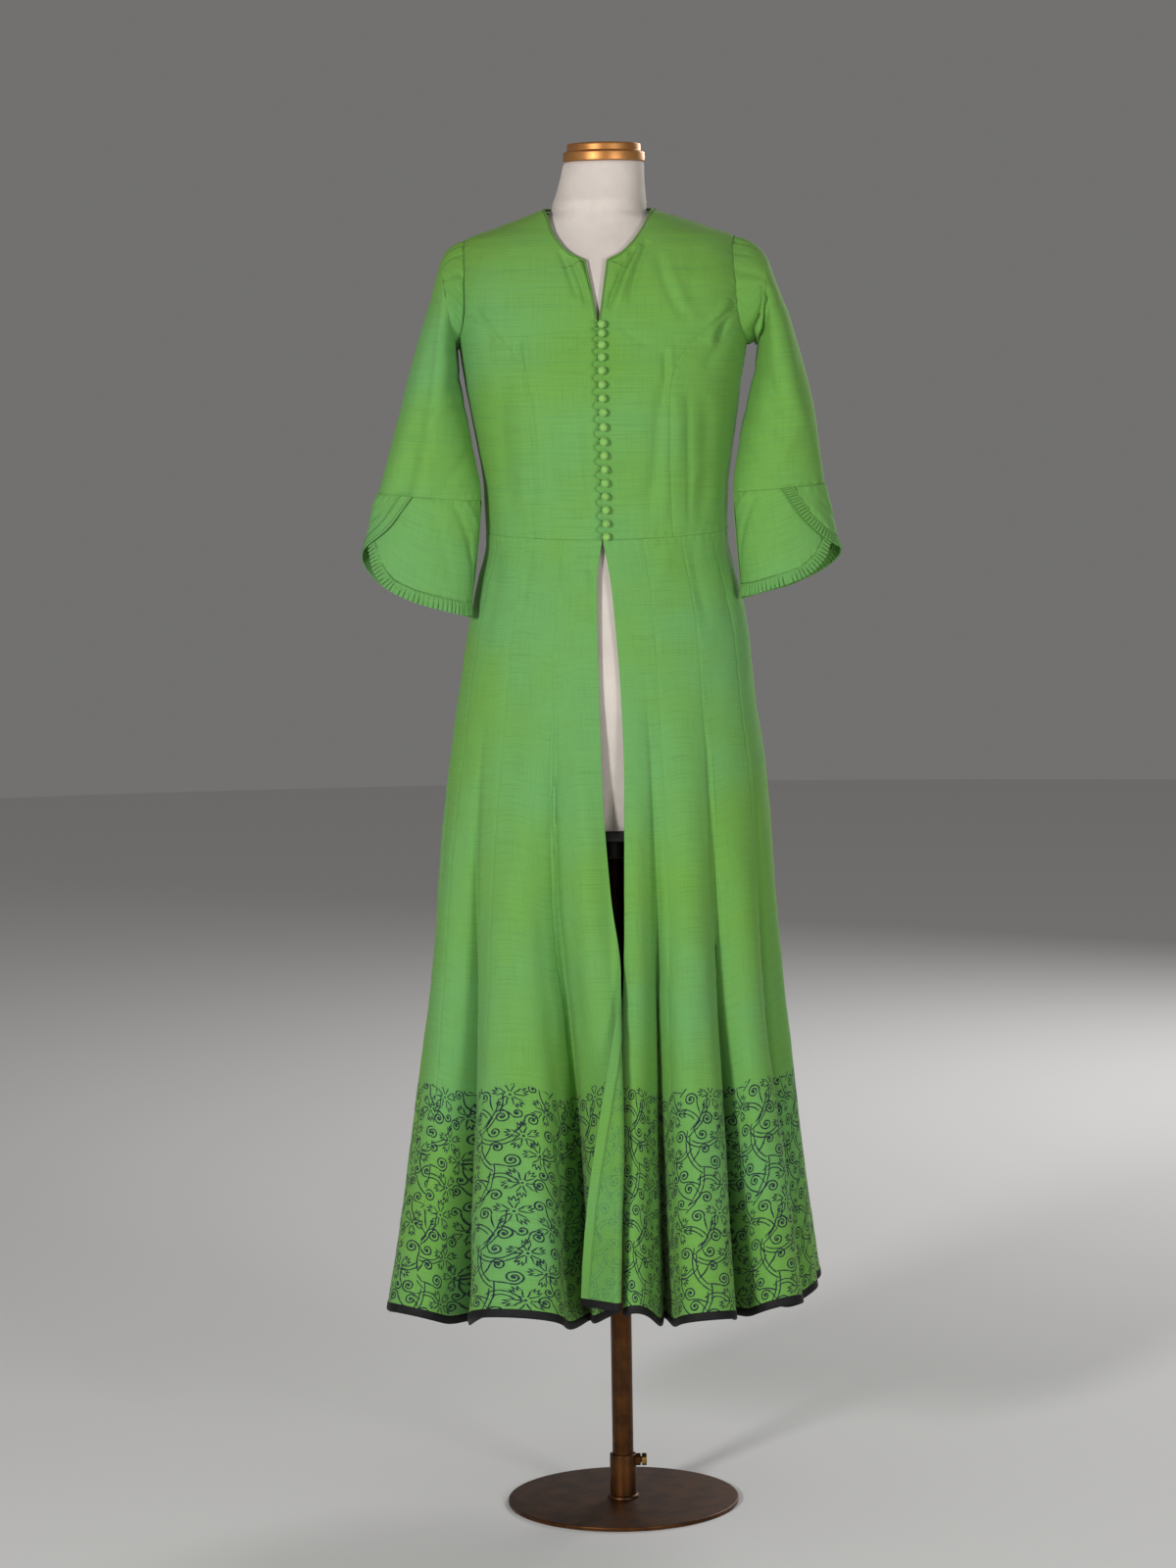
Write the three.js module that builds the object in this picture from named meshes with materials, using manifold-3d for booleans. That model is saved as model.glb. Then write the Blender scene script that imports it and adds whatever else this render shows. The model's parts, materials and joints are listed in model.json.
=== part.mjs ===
// A long front-open kurti on a limbless dress form with a round-based stand.
// Millimetres, +Z up, the front faces -Y. The origin is under the middle of the base plate.
import * as THREE from 'three';
import { mergeVertices } from 'three/addons/utils/BufferGeometryUtils.js';
import Module from 'manifold-3d';

// Cloth and seams
const clothWall = 1.5;
const cuffWall = 1.2;
const facingWall = 1.0;
const bindingWall = 2.4;
const seamInset = 0.2;
const layerGap = 0.3;
const pipingRadius = 1.4;
const pipingInset = 3.3;
const formTurn = -2.9;
const stepAngle = 0.01;

// Heights along the garment
const waistZ = 1151;
const waistSideLift = 7;
const neckFrontZ = 1471;
const neckSideZ = 1531;
const neckBackDip = 4;
const slitFootZ = 1401;
const slitTopHalf = 11.8;
const tipZ = 1497;
const hemFrontZ = 232;

// Stand
const plateRadius = 137.5;
const plateThick = 5;
const collarOuter = 15.8;
const collarBore = 12.9;
const collarTop = 57.5;
const poleRadius = 12.5;
const poleTop = 794;
const screwZ = 50;
const formFootZ = 815;
const boardThick = 12;
const formTopZ = 1585;
const capRadius = 47.2;
const capTierRadius = 40;
const capBandTop = 1596;
const capTop = 1607;
const hubFoot = 777;
const hubRadius = 42;
const boreClearance = 0.3;
const boltRadius = 4;
const boltHeadAcross = 13;
const boltHeadThick = 6;
const nutThick = 6.5;
const weldRadius = 19;

// Buttons and cuffs
const buttonCount = 17;
const buttonRadius = 5;
const firstButtonZ = 1396;
const buttonPitch = 15.75;
const buttonCrowding = 5.4;
const buttonCrowdingRows = 1.5;
const buttonOffset = 4.5;
const loopRadius = 0.9;
const loopRest = 7.2;
const loopReach = 0.9;
const loopSteps = 5;
const loopTallest = 14;
const loopFootGap = 2.5;
const pleatPitch = 7;
const pleatHeight = 1.5;
const pleatCrest = 0.88;
const trimWidth = 13;
const bindingHeight = 10;
const facingWidth = 13.5;
const facingSideInset = 0.4;
const facingEndInset = 1;

const goreCount = 16;

// Level sections of the garment: the middle of the ring, half widths to each side,
// depths to the front and back, and how square the ring is (2 is an ellipse).
const sections = [
  { z: 200, mid: 2, left: 262, right: 214, front: 119, back: 188, square: 2.2 },
  { z: 471, mid: 0, left: 229, right: 202, front: 120, back: 168, square: 2.2 },
  { z: 634, mid: -1, left: 213, right: 191, front: 120, back: 156, square: 2.2 },
  { z: 782, mid: -2, left: 201, right: 187, front: 119, back: 143, square: 2.2 },
  { z: 889, mid: -3, left: 188, right: 181, front: 116, back: 132, square: 2.2 },
  { z: 948, mid: -3, left: 180, right: 173, front: 113, back: 126, square: 2.2 },
  { z: 1047, mid: -3, left: 164, right: 163.5, front: 106, back: 112, square: 2.2 },
  { z: 1097, mid: -3, left: 153, right: 153, front: 99, back: 101, square: 2.2 },
  { z: 1150, mid: -3, left: 140.5, right: 140.5, front: 92, back: 89, square: 2.2 },
  { z: 1210, mid: -3, left: 142, right: 142, front: 102, back: 92, square: 2.2 },
  { z: 1250, mid: -3, left: 147, right: 147, front: 115, back: 97, square: 2.25 },
  { z: 1290, mid: -3, left: 154, right: 153, front: 124, back: 101, square: 2.3 },
  { z: 1330, mid: -4, left: 160, right: 159, front: 121, back: 105, square: 2.4 },
  { z: 1370, mid: -4, left: 166, right: 166, front: 112, back: 107, square: 2.5 },
  { z: 1410, mid: -4, left: 170, right: 170, front: 104, back: 106, square: 2.5 },
  { z: 1440, mid: -5, left: 170, right: 170, front: 96, back: 103, square: 2.5 },
  { z: 1465, mid: -6, left: 168, right: 168, front: 87, back: 97, square: 2.3 },
  { z: 1485, mid: -7, left: 163, right: 163, front: 78, back: 88, square: 2.1 },
  { z: 1497, mid: -7, left: 156, right: 157, front: 71, back: 80, square: 1.9 },
  { z: 1512, mid: -7, left: 116, right: 121, front: 63, back: 70, square: 1.75 },
  { z: 1520, mid: -7, left: 93, right: 98, front: 60, back: 66, square: 1.75 },
  { z: 1531, mid: -7, left: 62, right: 62, front: 59, back: 62, square: 1.95 },
];

// Level sections of the dress form below the waist
const formSections = [
  { z: 815, mid: -3, left: 150, right: 150, front: 97, back: 98, square: 2.2 },
  { z: 870, mid: -3, left: 157, right: 157, front: 102, back: 112, square: 2.2 },
  { z: 950, mid: -3, left: 157, right: 157, front: 104, back: 117, square: 2.2 },
  { z: 1050, mid: -3, left: 146, right: 146, front: 97, back: 101, square: 2.2 },
  { z: 1100, mid: -3, left: 139, right: 139, front: 89, back: 90, square: 2.2 },
  { z: 1146, mid: -3, left: 133, right: 133, front: 85, back: 82, square: 2.2 },
];

// The neck column of the dress form, round, above the shoulders
const neckSections = [
  { z: 1539, mid: -5.5, radius: 54 },
  { z: 1550, mid: -4, radius: 51.5 },
  { z: 1568, mid: -2, radius: 48.5 },
  { z: 1585, mid: 0, radius: 46.6 },
];

// Finished neckline, from the foot of the slit round to the shoulder: half width at each height
const neckline = [
  { z: slitFootZ, half: 0.3 },
  { z: 1437, half: 6.2 },
  { z: neckFrontZ, half: slitTopHalf },
  { z: 1479, half: 28 },
  { z: 1490, half: 40 },
  { z: 1506, half: 51 },
  { z: 1520, half: 57.5 },
];

// Bodice princess seam: sideways distance from the front opening at each height
const princess = [
  { z: 1157, side: 80 },
  { z: 1200, side: 79 },
  { z: 1250, side: 79 },
  { z: 1300, side: 80 },
  { z: 1335, side: 85 },
  { z: 1360, side: 95 },
  { z: 1380, side: 111 },
  { z: 1398, side: 134 },
];

// Front edge and side seam heights, one for each row of the bodice panels
const openingHeights = [waistZ, 1200, 1250, 1300, 1345, 1388, slitFootZ + 1.5, 1437, neckFrontZ];
const sideSeamHeights = [1157, 1195, 1235, 1270, 1300, 1325, 1345, 1360, 1372];
const sideSeamAngle = 92;

// Armhole, from the shoulder tip down the front to the underarm and up the back
const armhole = [
  { angle: 90, z: tipZ },
  { angle: 76, z: 1491 },
  { angle: 67, z: 1476 },
  { angle: 62, z: 1456 },
  { angle: 61, z: 1434 },
  { angle: 62, z: 1413 },
  { angle: 65, z: 1397 },
  { angle: 71, z: 1385 },
  { angle: 80, z: 1377 },
  { angle: 92, z: 1372 },
  { angle: 104, z: 1377 },
  { angle: 114, z: 1390 },
  { angle: 120, z: 1410 },
  { angle: 121, z: 1435 },
  { angle: 117, z: 1460 },
  { angle: 106, z: 1483 },
];
const princessRow = 5;
const underarmRow = 9;
const shoulderRows = 5;
const backColumns = 12;

// Sleeves: the outer and inner end of each section in the front view, how far forward its
// middle lies, and its half depth. The last row is the cuff's full length.
const leftSleeve = [
  { outX: -191, outZ: 1472, inX: -176, inZ: 1376, forward: 2, deep: 50 },
  { outX: -203, outZ: 1433, inX: -175, inZ: 1366, forward: 5, deep: 53 },
  { outX: -214, outZ: 1396, inX: -173, inZ: 1348, forward: 10, deep: 55 },
  { outX: -226, outZ: 1354, inX: -169, inZ: 1322, forward: 16, deep: 55 },
  { outX: -240, outZ: 1302, inX: -162, inZ: 1284, forward: 24, deep: 51 },
  { outX: -254, outZ: 1253, inX: -154, inZ: 1241, forward: 31, deep: 44 },
  { outX: -267, outZ: 1206, inX: -148, inZ: 1197, forward: 38, deep: 36 },
  { outX: -291, outZ: 1096, inX: -163, inZ: 1060, forward: 48, deep: 33 },
];
const rightSleeve = [
  { outX: 187, outZ: 1473, inX: 174, inZ: 1374, forward: 2, deep: 50 },
  { outX: 200, outZ: 1436, inX: 173, inZ: 1365, forward: 5, deep: 53 },
  { outX: 213, outZ: 1398, inX: 171, inZ: 1348, forward: 10, deep: 56 },
  { outX: 226, outZ: 1354, inX: 166, inZ: 1320, forward: 16, deep: 56 },
  { outX: 238, outZ: 1302, inX: 157, inZ: 1284, forward: 24, deep: 52 },
  { outX: 244, outZ: 1253, inX: 149, inZ: 1242, forward: 31, deep: 47 },
  { outX: 250, outZ: 1210, inX: 144.5, inZ: 1203, forward: 38, deep: 42 },
  { outX: 268, outZ: 1106, inX: 153, inZ: 1078, forward: 50, deep: 37 },
];
const sleeveStations = [0, 0.2, 0.5, 1, 2, 3, 4, 5, 6, 7];
const cuffStation = 7;
const capPuff = 5.6;
const leftPetalStart = 67;
const rightPetalStart = 78;
const underPetalStart = -25;
const petalLifts = {
  front: { top: -1.1, bottom: -0.4, fade: 0 },
  back: { top: 2, bottom: 4.4, fade: 0.8 },
};
const petalFade = { from: 105, to: 160 };

// A cuff petal's curved edge: how far round it has turned, and how far down it has dropped
const petalEdge = [
  { turn: 0, drop: 0 },
  { turn: 6, drop: 0.2 },
  { turn: 14, drop: 0.38 },
  { turn: 26, drop: 0.55 },
  { turn: 42, drop: 0.7 },
  { turn: 62, drop: 0.82 },
  { turn: 90, drop: 0.93 },
  { turn: 125, drop: 0.98 },
  { turn: 165, drop: 0.985 },
  { turn: 210, drop: 0.965 },
  { turn: 260, drop: 0.965 },
];

// Flutes of the skirt, counted in gores from the right front edge round to the left one:
// where each starts and ends at the hem, how far it stands out, how much wider its crest
// is than its neck, how far it leans on, where it begins, and how much higher its hem hangs.
const flutes = [
  { start: -0.45, end: 0.75, out: 60, bulge: 4, lean: 0, top: 900, lift: 34 },
  { start: 0.75, end: 2.05, out: 78, bulge: 14, lean: -6, top: 860, lift: 22 },
  { start: 2.05, end: 3.15, out: 52, bulge: 12, lean: 4, top: 760, lift: 20 },
  { start: 3.15, end: 4.4, out: 24, bulge: 6, lean: 0, top: 820, lift: 16 },
  { start: 4.4, end: 5.65, out: 46, bulge: 12, lean: 0, top: 880, lift: 10 },
  { start: 5.65, end: 6.8, out: 62, bulge: 14, lean: 8, top: 840, lift: 14 },
  { start: 6.8, end: 8.1, out: 50, bulge: 10, lean: -6, top: 900, lift: 10 },
  { start: 8.1, end: 9.2, out: 64, bulge: 14, lean: 4, top: 830, lift: 14 },
  { start: 9.2, end: 10.4, out: 52, bulge: 12, lean: -8, top: 870, lift: 10 },
  { start: 10.4, end: 11.3, out: 40, bulge: 8, lean: 0, top: 850, lift: 8 },
  { start: 11.3, end: 12.3, out: 26, bulge: 6, lean: 0, top: 800, lift: 0 },
  { start: 12.3, end: 13.5, out: 46, bulge: 12, lean: 4, top: 840, lift: 18 },
  { start: 13.5, end: 15.05, out: 86, bulge: 22, lean: 16, top: 850, lift: 34 },
  { start: 15.05, end: 16.3, out: 75, bulge: 4, lean: 0, top: 900, lift: 40 },
];

// Where the two front edges hang in the front view, and the width of the left edge's
// turned-out part with the roll it turns over
const frontEdges = [
  { z: 200, left: 6, right: 9, turned: 74, roll: 5 },
  { z: 430, left: 5, right: 8, turned: 48, roll: 6 },
  { z: 609, left: -3, right: 10, turned: 25, roll: 8 },
  { z: 660, left: -8, right: 12, turned: 17, roll: 10 },
  { z: 748, left: -10, right: 13, turned: 5, roll: 12 },
  { z: 874, left: -13, right: 13.5, turned: 0, roll: 14 },
  { z: 990, left: -14.5, right: 9.6, turned: 0, roll: 14 },
  { z: 1050, left: -15.4, right: 5.4, turned: 0, roll: 14 },
  { z: 1100, left: -15, right: 1, turned: 0, roll: 14 },
  { z: 1151, left: -8.4, right: -7.6, turned: 0, roll: 14 },
];
const edgeFalloff = 0.9;
const fullRoll = 172;
const hemSideRise = 14;
const edgeHemRun = 0.5;
const skirtRows = [0, 0.12, 0.26, 0.4, 0.54, 0.69, 0.84, 1];
const rollRows = [0.47, 0.585, 0.635, 0.765];

const colours = {
  cloth: 0x5fa048,
  clothShade: 0x57963f,
  button: 0x4f8f3a,
  binding: 0x1c191c,
  form: 0xd8cec4,
  board: 0x16140f,
  gold: 0xb4783c,
  bronze: 0x64421c,
  steel: 0xb9b4a8,
};

const vector = (x, y, z) => new THREE.Vector3(x, y, z);
const radians = THREE.MathUtils.degToRad;
const clamp = THREE.MathUtils.clamp;
const lerp = THREE.MathUtils.lerp;
const clothMaterial = (color, roughness = 0.85) => new THREE.MeshStandardMaterial({ color, roughness });
const metalMaterial = (color, roughness = 0.4) =>
  new THREE.MeshStandardMaterial({ color, roughness, metalness: 0.9 });

// A smooth curve through one column of a table, without overshoot between its rows
function curve(rows, key, column) {
  const at = rows.map((row) => row[key]);
  const value = rows.map((row) => row[column]);
  const slope = at.slice(1).map((end, i) => (value[i + 1] - value[i]) / (end - at[i]));
  const tangent = value.map((_, i) => {
    if (i === 0) return slope[0];
    if (i === value.length - 1) return slope[i - 1];
    return slope[i - 1] * slope[i] <= 0 ? 0 : (2 * slope[i - 1] * slope[i]) / (slope[i - 1] + slope[i]);
  });
  return (x) => {
    if (x <= at[0]) return value[0];
    if (x >= at[at.length - 1]) return value[value.length - 1];
    const i = at.findIndex((end) => end > x) - 1;
    const span = at[i + 1] - at[i];
    const t = (x - at[i]) / span;
    const rest = 1 - t;
    return (1 + 2 * t) * rest * rest * value[i] + t * rest * rest * span * tangent[i]
      + t * t * (3 - 2 * t) * value[i + 1] - t * t * rest * span * tangent[i + 1];
  };
}

// The level ring at a height, from a table of sections
function ringOf(rows) {
  const columns = ['mid', 'left', 'right', 'front', 'back', 'square'];
  const curves = columns.map((column) => curve(rows, 'z', column));
  return (z) => Object.fromEntries(columns.map((column, i) => [column, curves[i](z)]));
}
const garmentRing = ringOf(sections);
const formRing = ringOf(formSections);

// A point on a ring, in the form's own directions: angle 0 is the front, 90 degrees is +X
function onRing(ring, angle) {
  const s = Math.sin(angle);
  const c = Math.cos(angle);
  const reach = (Math.abs(s) ** ring.square + Math.abs(c) ** ring.square) ** (-1 / ring.square);
  const halfWidth = s > 0 ? ring.right : ring.left;
  const halfDepth = c > 0 ? ring.front : ring.back;
  return { side: halfWidth * reach * s, depth: halfDepth * reach * c };
}

function placed(ring, local, z) {
  const turn = radians(formTurn);
  const x = local.side * Math.cos(turn) + local.depth * Math.sin(turn);
  const y = local.side * Math.sin(turn) - local.depth * Math.cos(turn);
  return vector(ring.mid + x, y, z);
}

function bodyAt(angle, z) {
  const ring = garmentRing(z);
  return placed(ring, onRing(ring, angle), z);
}

// The outward normal of any surface given as a function of two numbers
function normalOf(surface, u, v, stepU, stepV) {
  const alongU = surface(u + stepU, v).sub(surface(u - stepU, v));
  const alongV = surface(u, v + stepV).sub(surface(u, v - stepV));
  return alongU.cross(alongV).normalize();
}
const bodyNormal = (angle, z) => normalOf(bodyAt, angle, z, stepAngle, 1);

// The angle at which a ring has a given sideways distance from the front opening
function angleAt(side, z) {
  const ring = garmentRing(z);
  let low = 0;
  let high = Math.PI / 2;
  for (let i = 0; i < 40; i += 1) {
    const middle = (low + high) / 2;
    if (onRing(ring, middle).side < side) low = middle;
    else high = middle;
  }
  return low;
}

const waistAt = (angle) => waistZ + waistSideLift * Math.sin(angle) ** 2;

function geometryFrom(points, faces) {
  const geometry = new THREE.BufferGeometry();
  const positions = points.flatMap((p) => [p.x, p.y, p.z]);
  geometry.setAttribute('position', new THREE.Float32BufferAttribute(positions, 3));
  geometry.setIndex(faces.flat());
  geometry.computeVertexNormals();
  return geometry;
}

// A wall between an outer and an inner grid of points. Counted along the columns and then
// the rows, the grids turn so that their faces point outwards. A wrapped grid closes on itself.
function wall(outer, inner, wrapped = false) {
  const columns = outer.length;
  const rows = outer[0].length;
  const points = [...outer.flat(), ...inner.flat()];
  const faces = [];
  const index = (i, j, side) => side * columns * rows + (i % columns) * rows + j;
  const quad = (a, b, c, d) => faces.push([a, b, c], [a, c, d]);
  const lastColumn = wrapped ? columns : columns - 1;
  for (let i = 0; i < lastColumn; i += 1) {
    for (let j = 0; j < rows - 1; j += 1) {
      quad(index(i, j, 0), index(i + 1, j, 0), index(i + 1, j + 1, 0), index(i, j + 1, 0));
      quad(index(i, j, 1), index(i, j + 1, 1), index(i + 1, j + 1, 1), index(i + 1, j, 1));
    }
    quad(index(i, 0, 1), index(i + 1, 0, 1), index(i + 1, 0, 0), index(i, 0, 0));
    quad(index(i, rows - 1, 0), index(i + 1, rows - 1, 0), index(i + 1, rows - 1, 1), index(i, rows - 1, 1));
  }
  if (!wrapped) {
    const end = columns - 1;
    for (let j = 0; j < rows - 1; j += 1) {
      quad(index(0, j, 0), index(0, j + 1, 0), index(0, j + 1, 1), index(0, j, 1));
      quad(index(end, j, 1), index(end, j + 1, 1), index(end, j + 1, 0), index(end, j, 0));
    }
  }
  return geometryFrom(points, faces);
}

// Moves a grid's four edges into the panel by the insets given for each point along them.
// A corner moves along the edges that meet there, so that it stays on its seam.
function insetGrid(points, normals, insets) {
  const columns = points.length;
  const rows = points[0].length;
  const moved = points.map((column) => column.map((p) => p.clone()));
  const along = (a, b) => b.clone().sub(a).normalize();
  for (let j = 0; j < rows; j += 1) {
    const below = Math.max(j - 1, 0);
    const above = Math.min(j + 1, rows - 1);
    const corner = j === 0 || j === rows - 1;
    for (const [i, sign, inset] of [[0, 1, insets.first], [columns - 1, -1, insets.last]]) {
      const inward = corner
        ? along(points[i][j], points[i + sign][j]).multiplyScalar(sign)
        : along(points[i][below], points[i][above]).cross(normals[i][j]);
      moved[i][j].addScaledVector(inward, sign * inset(j));
    }
  }
  for (let i = 0; i < columns; i += 1) {
    const before = Math.max(i - 1, 0);
    const after = Math.min(i + 1, columns - 1);
    const corner = i === 0 || i === columns - 1;
    for (const [j, sign, inset] of [[0, 1, insets.bottom], [rows - 1, -1, insets.top]]) {
      const inward = corner
        ? along(points[i][j], points[i][j + sign]).multiplyScalar(sign)
        : normals[i][j].clone().cross(along(points[before][j], points[after][j]));
      moved[i][j].addScaledVector(inward, sign * inset(i));
    }
  }
  return moved;
}

const shifted = (points, normals, distance) =>
  points.map((column, i) => column.map((p, j) => p.clone().addScaledVector(normals[i][j], distance)));

function clothWallFrom(points, normals, thickness, wrapped = false, lift = 0) {
  const outer = shifted(points, normals, lift + thickness / 2);
  const inner = shifted(points, normals, lift - thickness / 2);
  return wall(outer, inner, wrapped);
}

const plainInsets = {
  first: () => seamInset,
  last: () => seamInset,
  bottom: () => seamInset,
  top: () => seamInset,
};

// A body panel whose four edges are lists of { angle, z }, filled in between them
function bodyPanel(edges, insets = plainInsets) {
  const { first, last, bottom, top } = edges;
  const mix = (a, b, t) => ({ angle: lerp(a.angle, b.angle, t), z: lerp(a.z, b.z, t) });
  const grid = bottom.map((low, i) => first.map((start, j) => {
    const u = i / (bottom.length - 1);
    const v = j / (first.length - 1);
    const across = mix(start, last[j], u);
    const up = mix(low, top[i], v);
    const lowCorner = mix(first[0], last[0], u);
    const highCorner = mix(first[first.length - 1], last[last.length - 1], u);
    const corners = mix(lowCorner, highCorner, v);
    return { angle: across.angle + up.angle - corners.angle, z: across.z + up.z - corners.z };
  }));
  const points = grid.map((column) => column.map(({ angle, z }) => bodyAt(angle, z)));
  const normals = grid.map((column) => column.map(({ angle, z }) => bodyNormal(angle, z)));
  return { points: insetGrid(points, normals, insets), normals };
}

// The bodice's seam lines on the right half, as lists of { angle, z } from the waist up
const armholeLine = armhole.map((row) => ({ angle: radians(row.angle), z: row.z }));
const neckHalf = curve(neckline, 'z', 'half');
const openingLine = openingHeights.map((z) => ({ angle: z < slitFootZ ? 0 : angleAt(neckHalf(z), z), z }));
const necklineTop = neckline.slice(3).map((row) => ({ angle: angleAt(row.half, row.z), z: row.z }));
const hps = { angle: Math.PI / 2, z: neckSideZ };
const frontEdgeLine = [...openingLine, ...necklineTop, hps];
const princessLine = [
  ...princess.map((row) => ({ angle: angleAt(row.side, row.z), z: row.z })),
  armholeLine[princessRow],
];
const frontSideLine = [...princessLine, ...armholeLine.slice(0, princessRow).reverse()];
const sideSeamLine = sideSeamHeights.map((z) => ({ angle: radians(sideSeamAngle), z }));
const armholeFrontLow = armholeLine.slice(princessRow, underarmRow + 1);
const shoulderLine = Array.from({ length: shoulderRows + 1 }, (_, i) =>
  ({ angle: Math.PI / 2, z: lerp(neckSideZ, tipZ, i / shoulderRows) }));
const backSideLine = [
  ...sideSeamLine,
  ...armholeLine.slice(underarmRow + 1),
  ...shoulderLine.slice().reverse(),
];

function waistLine(from, to, steps) {
  return Array.from({ length: steps + 1 }, (_, i) => {
    const angle = lerp(from, to, i / steps);
    return { angle, z: waistAt(angle) };
  });
}

const atWaist = (point) => ({ angle: point.angle, z: waistAt(point.angle) });
for (const line of [frontEdgeLine, frontSideLine, princessLine, sideSeamLine, backSideLine]) {
  line[0] = atWaist(line[0]);
}

const mirrored = (line) => line.map(({ angle, z }) => ({ angle: -angle, z }));

// On the left half the columns run the other way, so that faces still point outwards
function mirroredEdges({ first, last, bottom, top }) {
  return {
    first: mirrored(last),
    last: mirrored(first),
    bottom: mirrored(bottom).reverse(),
    top: mirrored(top).reverse(),
  };
}

const frontPanelEdges = {
  first: frontEdgeLine,
  last: frontSideLine,
  bottom: waistLine(0, frontSideLine[0].angle, shoulderRows),
  top: shoulderLine,
};
const sideFrontEdges = {
  first: princessLine,
  last: sideSeamLine,
  bottom: waistLine(princessLine[0].angle, sideSeamLine[0].angle, armholeFrontLow.length - 1),
  top: armholeFrontLow,
};
const backEdges = {
  first: backSideLine,
  last: backSideLine.map(({ angle, z }) => ({ angle: 2 * Math.PI - angle, z })),
  bottom: waistLine(sideSeamLine[0].angle, 2 * Math.PI - sideSeamLine[0].angle, backColumns),
  top: Array.from({ length: backColumns + 1 }, (_, i) => ({
    angle: lerp(Math.PI / 2, (3 * Math.PI) / 2, i / backColumns),
    z: neckSideZ - neckBackDip * Math.sin((Math.PI * i) / backColumns),
  })),
};

const neckRow = openingHeights.findIndex((z) => z > slitFootZ);
const openingInset = (j) => (j < neckRow ? seamInset : pipingInset);
const frontPanel = {
  right: bodyPanel(frontPanelEdges, { ...plainInsets, first: openingInset }),
  left: bodyPanel(mirroredEdges(frontPanelEdges), { ...plainInsets, last: openingInset }),
};
const sideFrontPanel = {
  right: bodyPanel(sideFrontEdges),
  left: bodyPanel(mirroredEdges(sideFrontEdges)),
};
const backPanel = bodyPanel(backEdges, { ...plainInsets, top: () => pipingInset });

const kurti = new THREE.Group();
const addTo = (group, name, geometry, material) => {
  const mesh = new THREE.Mesh(geometry, material);
  mesh.name = name;
  group.add(mesh);
  return mesh;
};
const addPanel = (name, panel) =>
  addTo(kurti, name, clothWallFrom(panel.points, panel.normals, clothWall), clothMaterial(colours.cloth));

addPanel('bodice_front_left', frontPanel.left);
addPanel('bodice_front_right', frontPanel.right);
addPanel('bodice_side_left', sideFrontPanel.left);
addPanel('bodice_side_right', sideFrontPanel.right);
addPanel('bodice_back', backPanel);

// A round cord along a path, with a chosen side direction at each point. It is closed at its ends.
function cordAlong(path, ups, radius, sides) {
  const count = path.length;
  const outer = path.map((p, i) => {
    const before = path[Math.max(i - 1, 0)];
    const after = path[Math.min(i + 1, count - 1)];
    const ahead = after.clone().sub(before).normalize();
    const across = ups[i].clone().cross(ahead).normalize();
    const up = ahead.clone().cross(across);
    return Array.from({ length: sides }, (_, k) => {
      const turn = (2 * Math.PI * k) / sides;
      return p.clone()
        .addScaledVector(across, radius * Math.cos(turn))
        .addScaledVector(up, radius * Math.sin(turn));
    });
  });
  const faces = [];
  for (let i = 0; i < count - 1; i += 1) {
    for (let k = 0; k < sides; k += 1) {
      const next = (k + 1) % sides;
      const a = i * sides + k;
      const b = i * sides + next;
      faces.push([a, b, b + sides], [a, b + sides, a + sides]);
    }
  }
  for (let k = 1; k < sides - 1; k += 1) {
    faces.push([0, k + 1, k]);
    const end = (count - 1) * sides;
    faces.push([end, end + k, end + k + 1]);
  }
  return geometryFrom(outer.flat(), faces);
}

// Neck piping: up one side of the slit, round the neck and down the other side
function neckPiping() {
  const right = frontEdgeLine.slice(neckRow);
  const back = backEdges.top.slice(1, -1).reverse();
  const line = [...mirrored(right), ...back, ...right.slice().reverse()];
  const finished = line.map(({ angle, z }) => bodyAt(angle, z));
  const ups = line.map(({ angle, z }) => bodyNormal(angle, z));
  const path = finished.map((p, i) => {
    const ahead = finished[Math.min(i + 1, finished.length - 1)].clone()
      .sub(finished[Math.max(i - 1, 0)]).normalize();
    const inward = ahead.cross(ups[i]).normalize();
    return p.clone().addScaledVector(inward, -(pipingRadius + seamInset));
  });
  return cordAlong(path, ups, pipingRadius, 5);
}
addTo(kurti, 'neck_piping', neckPiping(), clothMaterial(colours.clothShade));

// Buttons down the right front edge, closer together at the top, each with a cord loop
function buttonHeights() {
  const heights = [firstButtonZ];
  for (let i = 0; i < buttonCount - 1; i += 1) {
    heights.push(heights[i] - buttonPitch + buttonCrowding * Math.exp(-i / buttonCrowdingRows));
  }
  return heights;
}

// A place on a front panel's own faces, a given distance in from its opening edge and lifted
// off its outer face
function onFront(edgeColumn, nextColumn, distance, z, lift) {
  const width = edgeColumn.points[0].distanceTo(nextColumn.points[0]);
  const share = (distance - seamInset) / width;
  const between = (key) => edgeColumn[key].map((p, j) => p.clone().lerp(nextColumn[key][j], share));
  const points = between('points');
  const normals = between('normals');
  const j = clamp(points.findIndex((p) => p.z > z), 1, points.length - 1);
  const t = (z - points[j - 1].z) / (points[j].z - points[j - 1].z);
  const up = normals[j - 1].clone().lerp(normals[j], t).normalize();
  return { up, point: points[j - 1].clone().lerp(points[j], t).addScaledVector(up, clothWall / 2 + lift) };
}
const columnOf = (panel, i) => ({ points: panel.points[i], normals: panel.normals[i] });
const rightEdge = [columnOf(frontPanel.right, 0), columnOf(frontPanel.right, 1)];
const leftEdge = [columnOf(frontPanel.left, shoulderRows), columnOf(frontPanel.left, shoulderRows - 1)];

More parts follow.
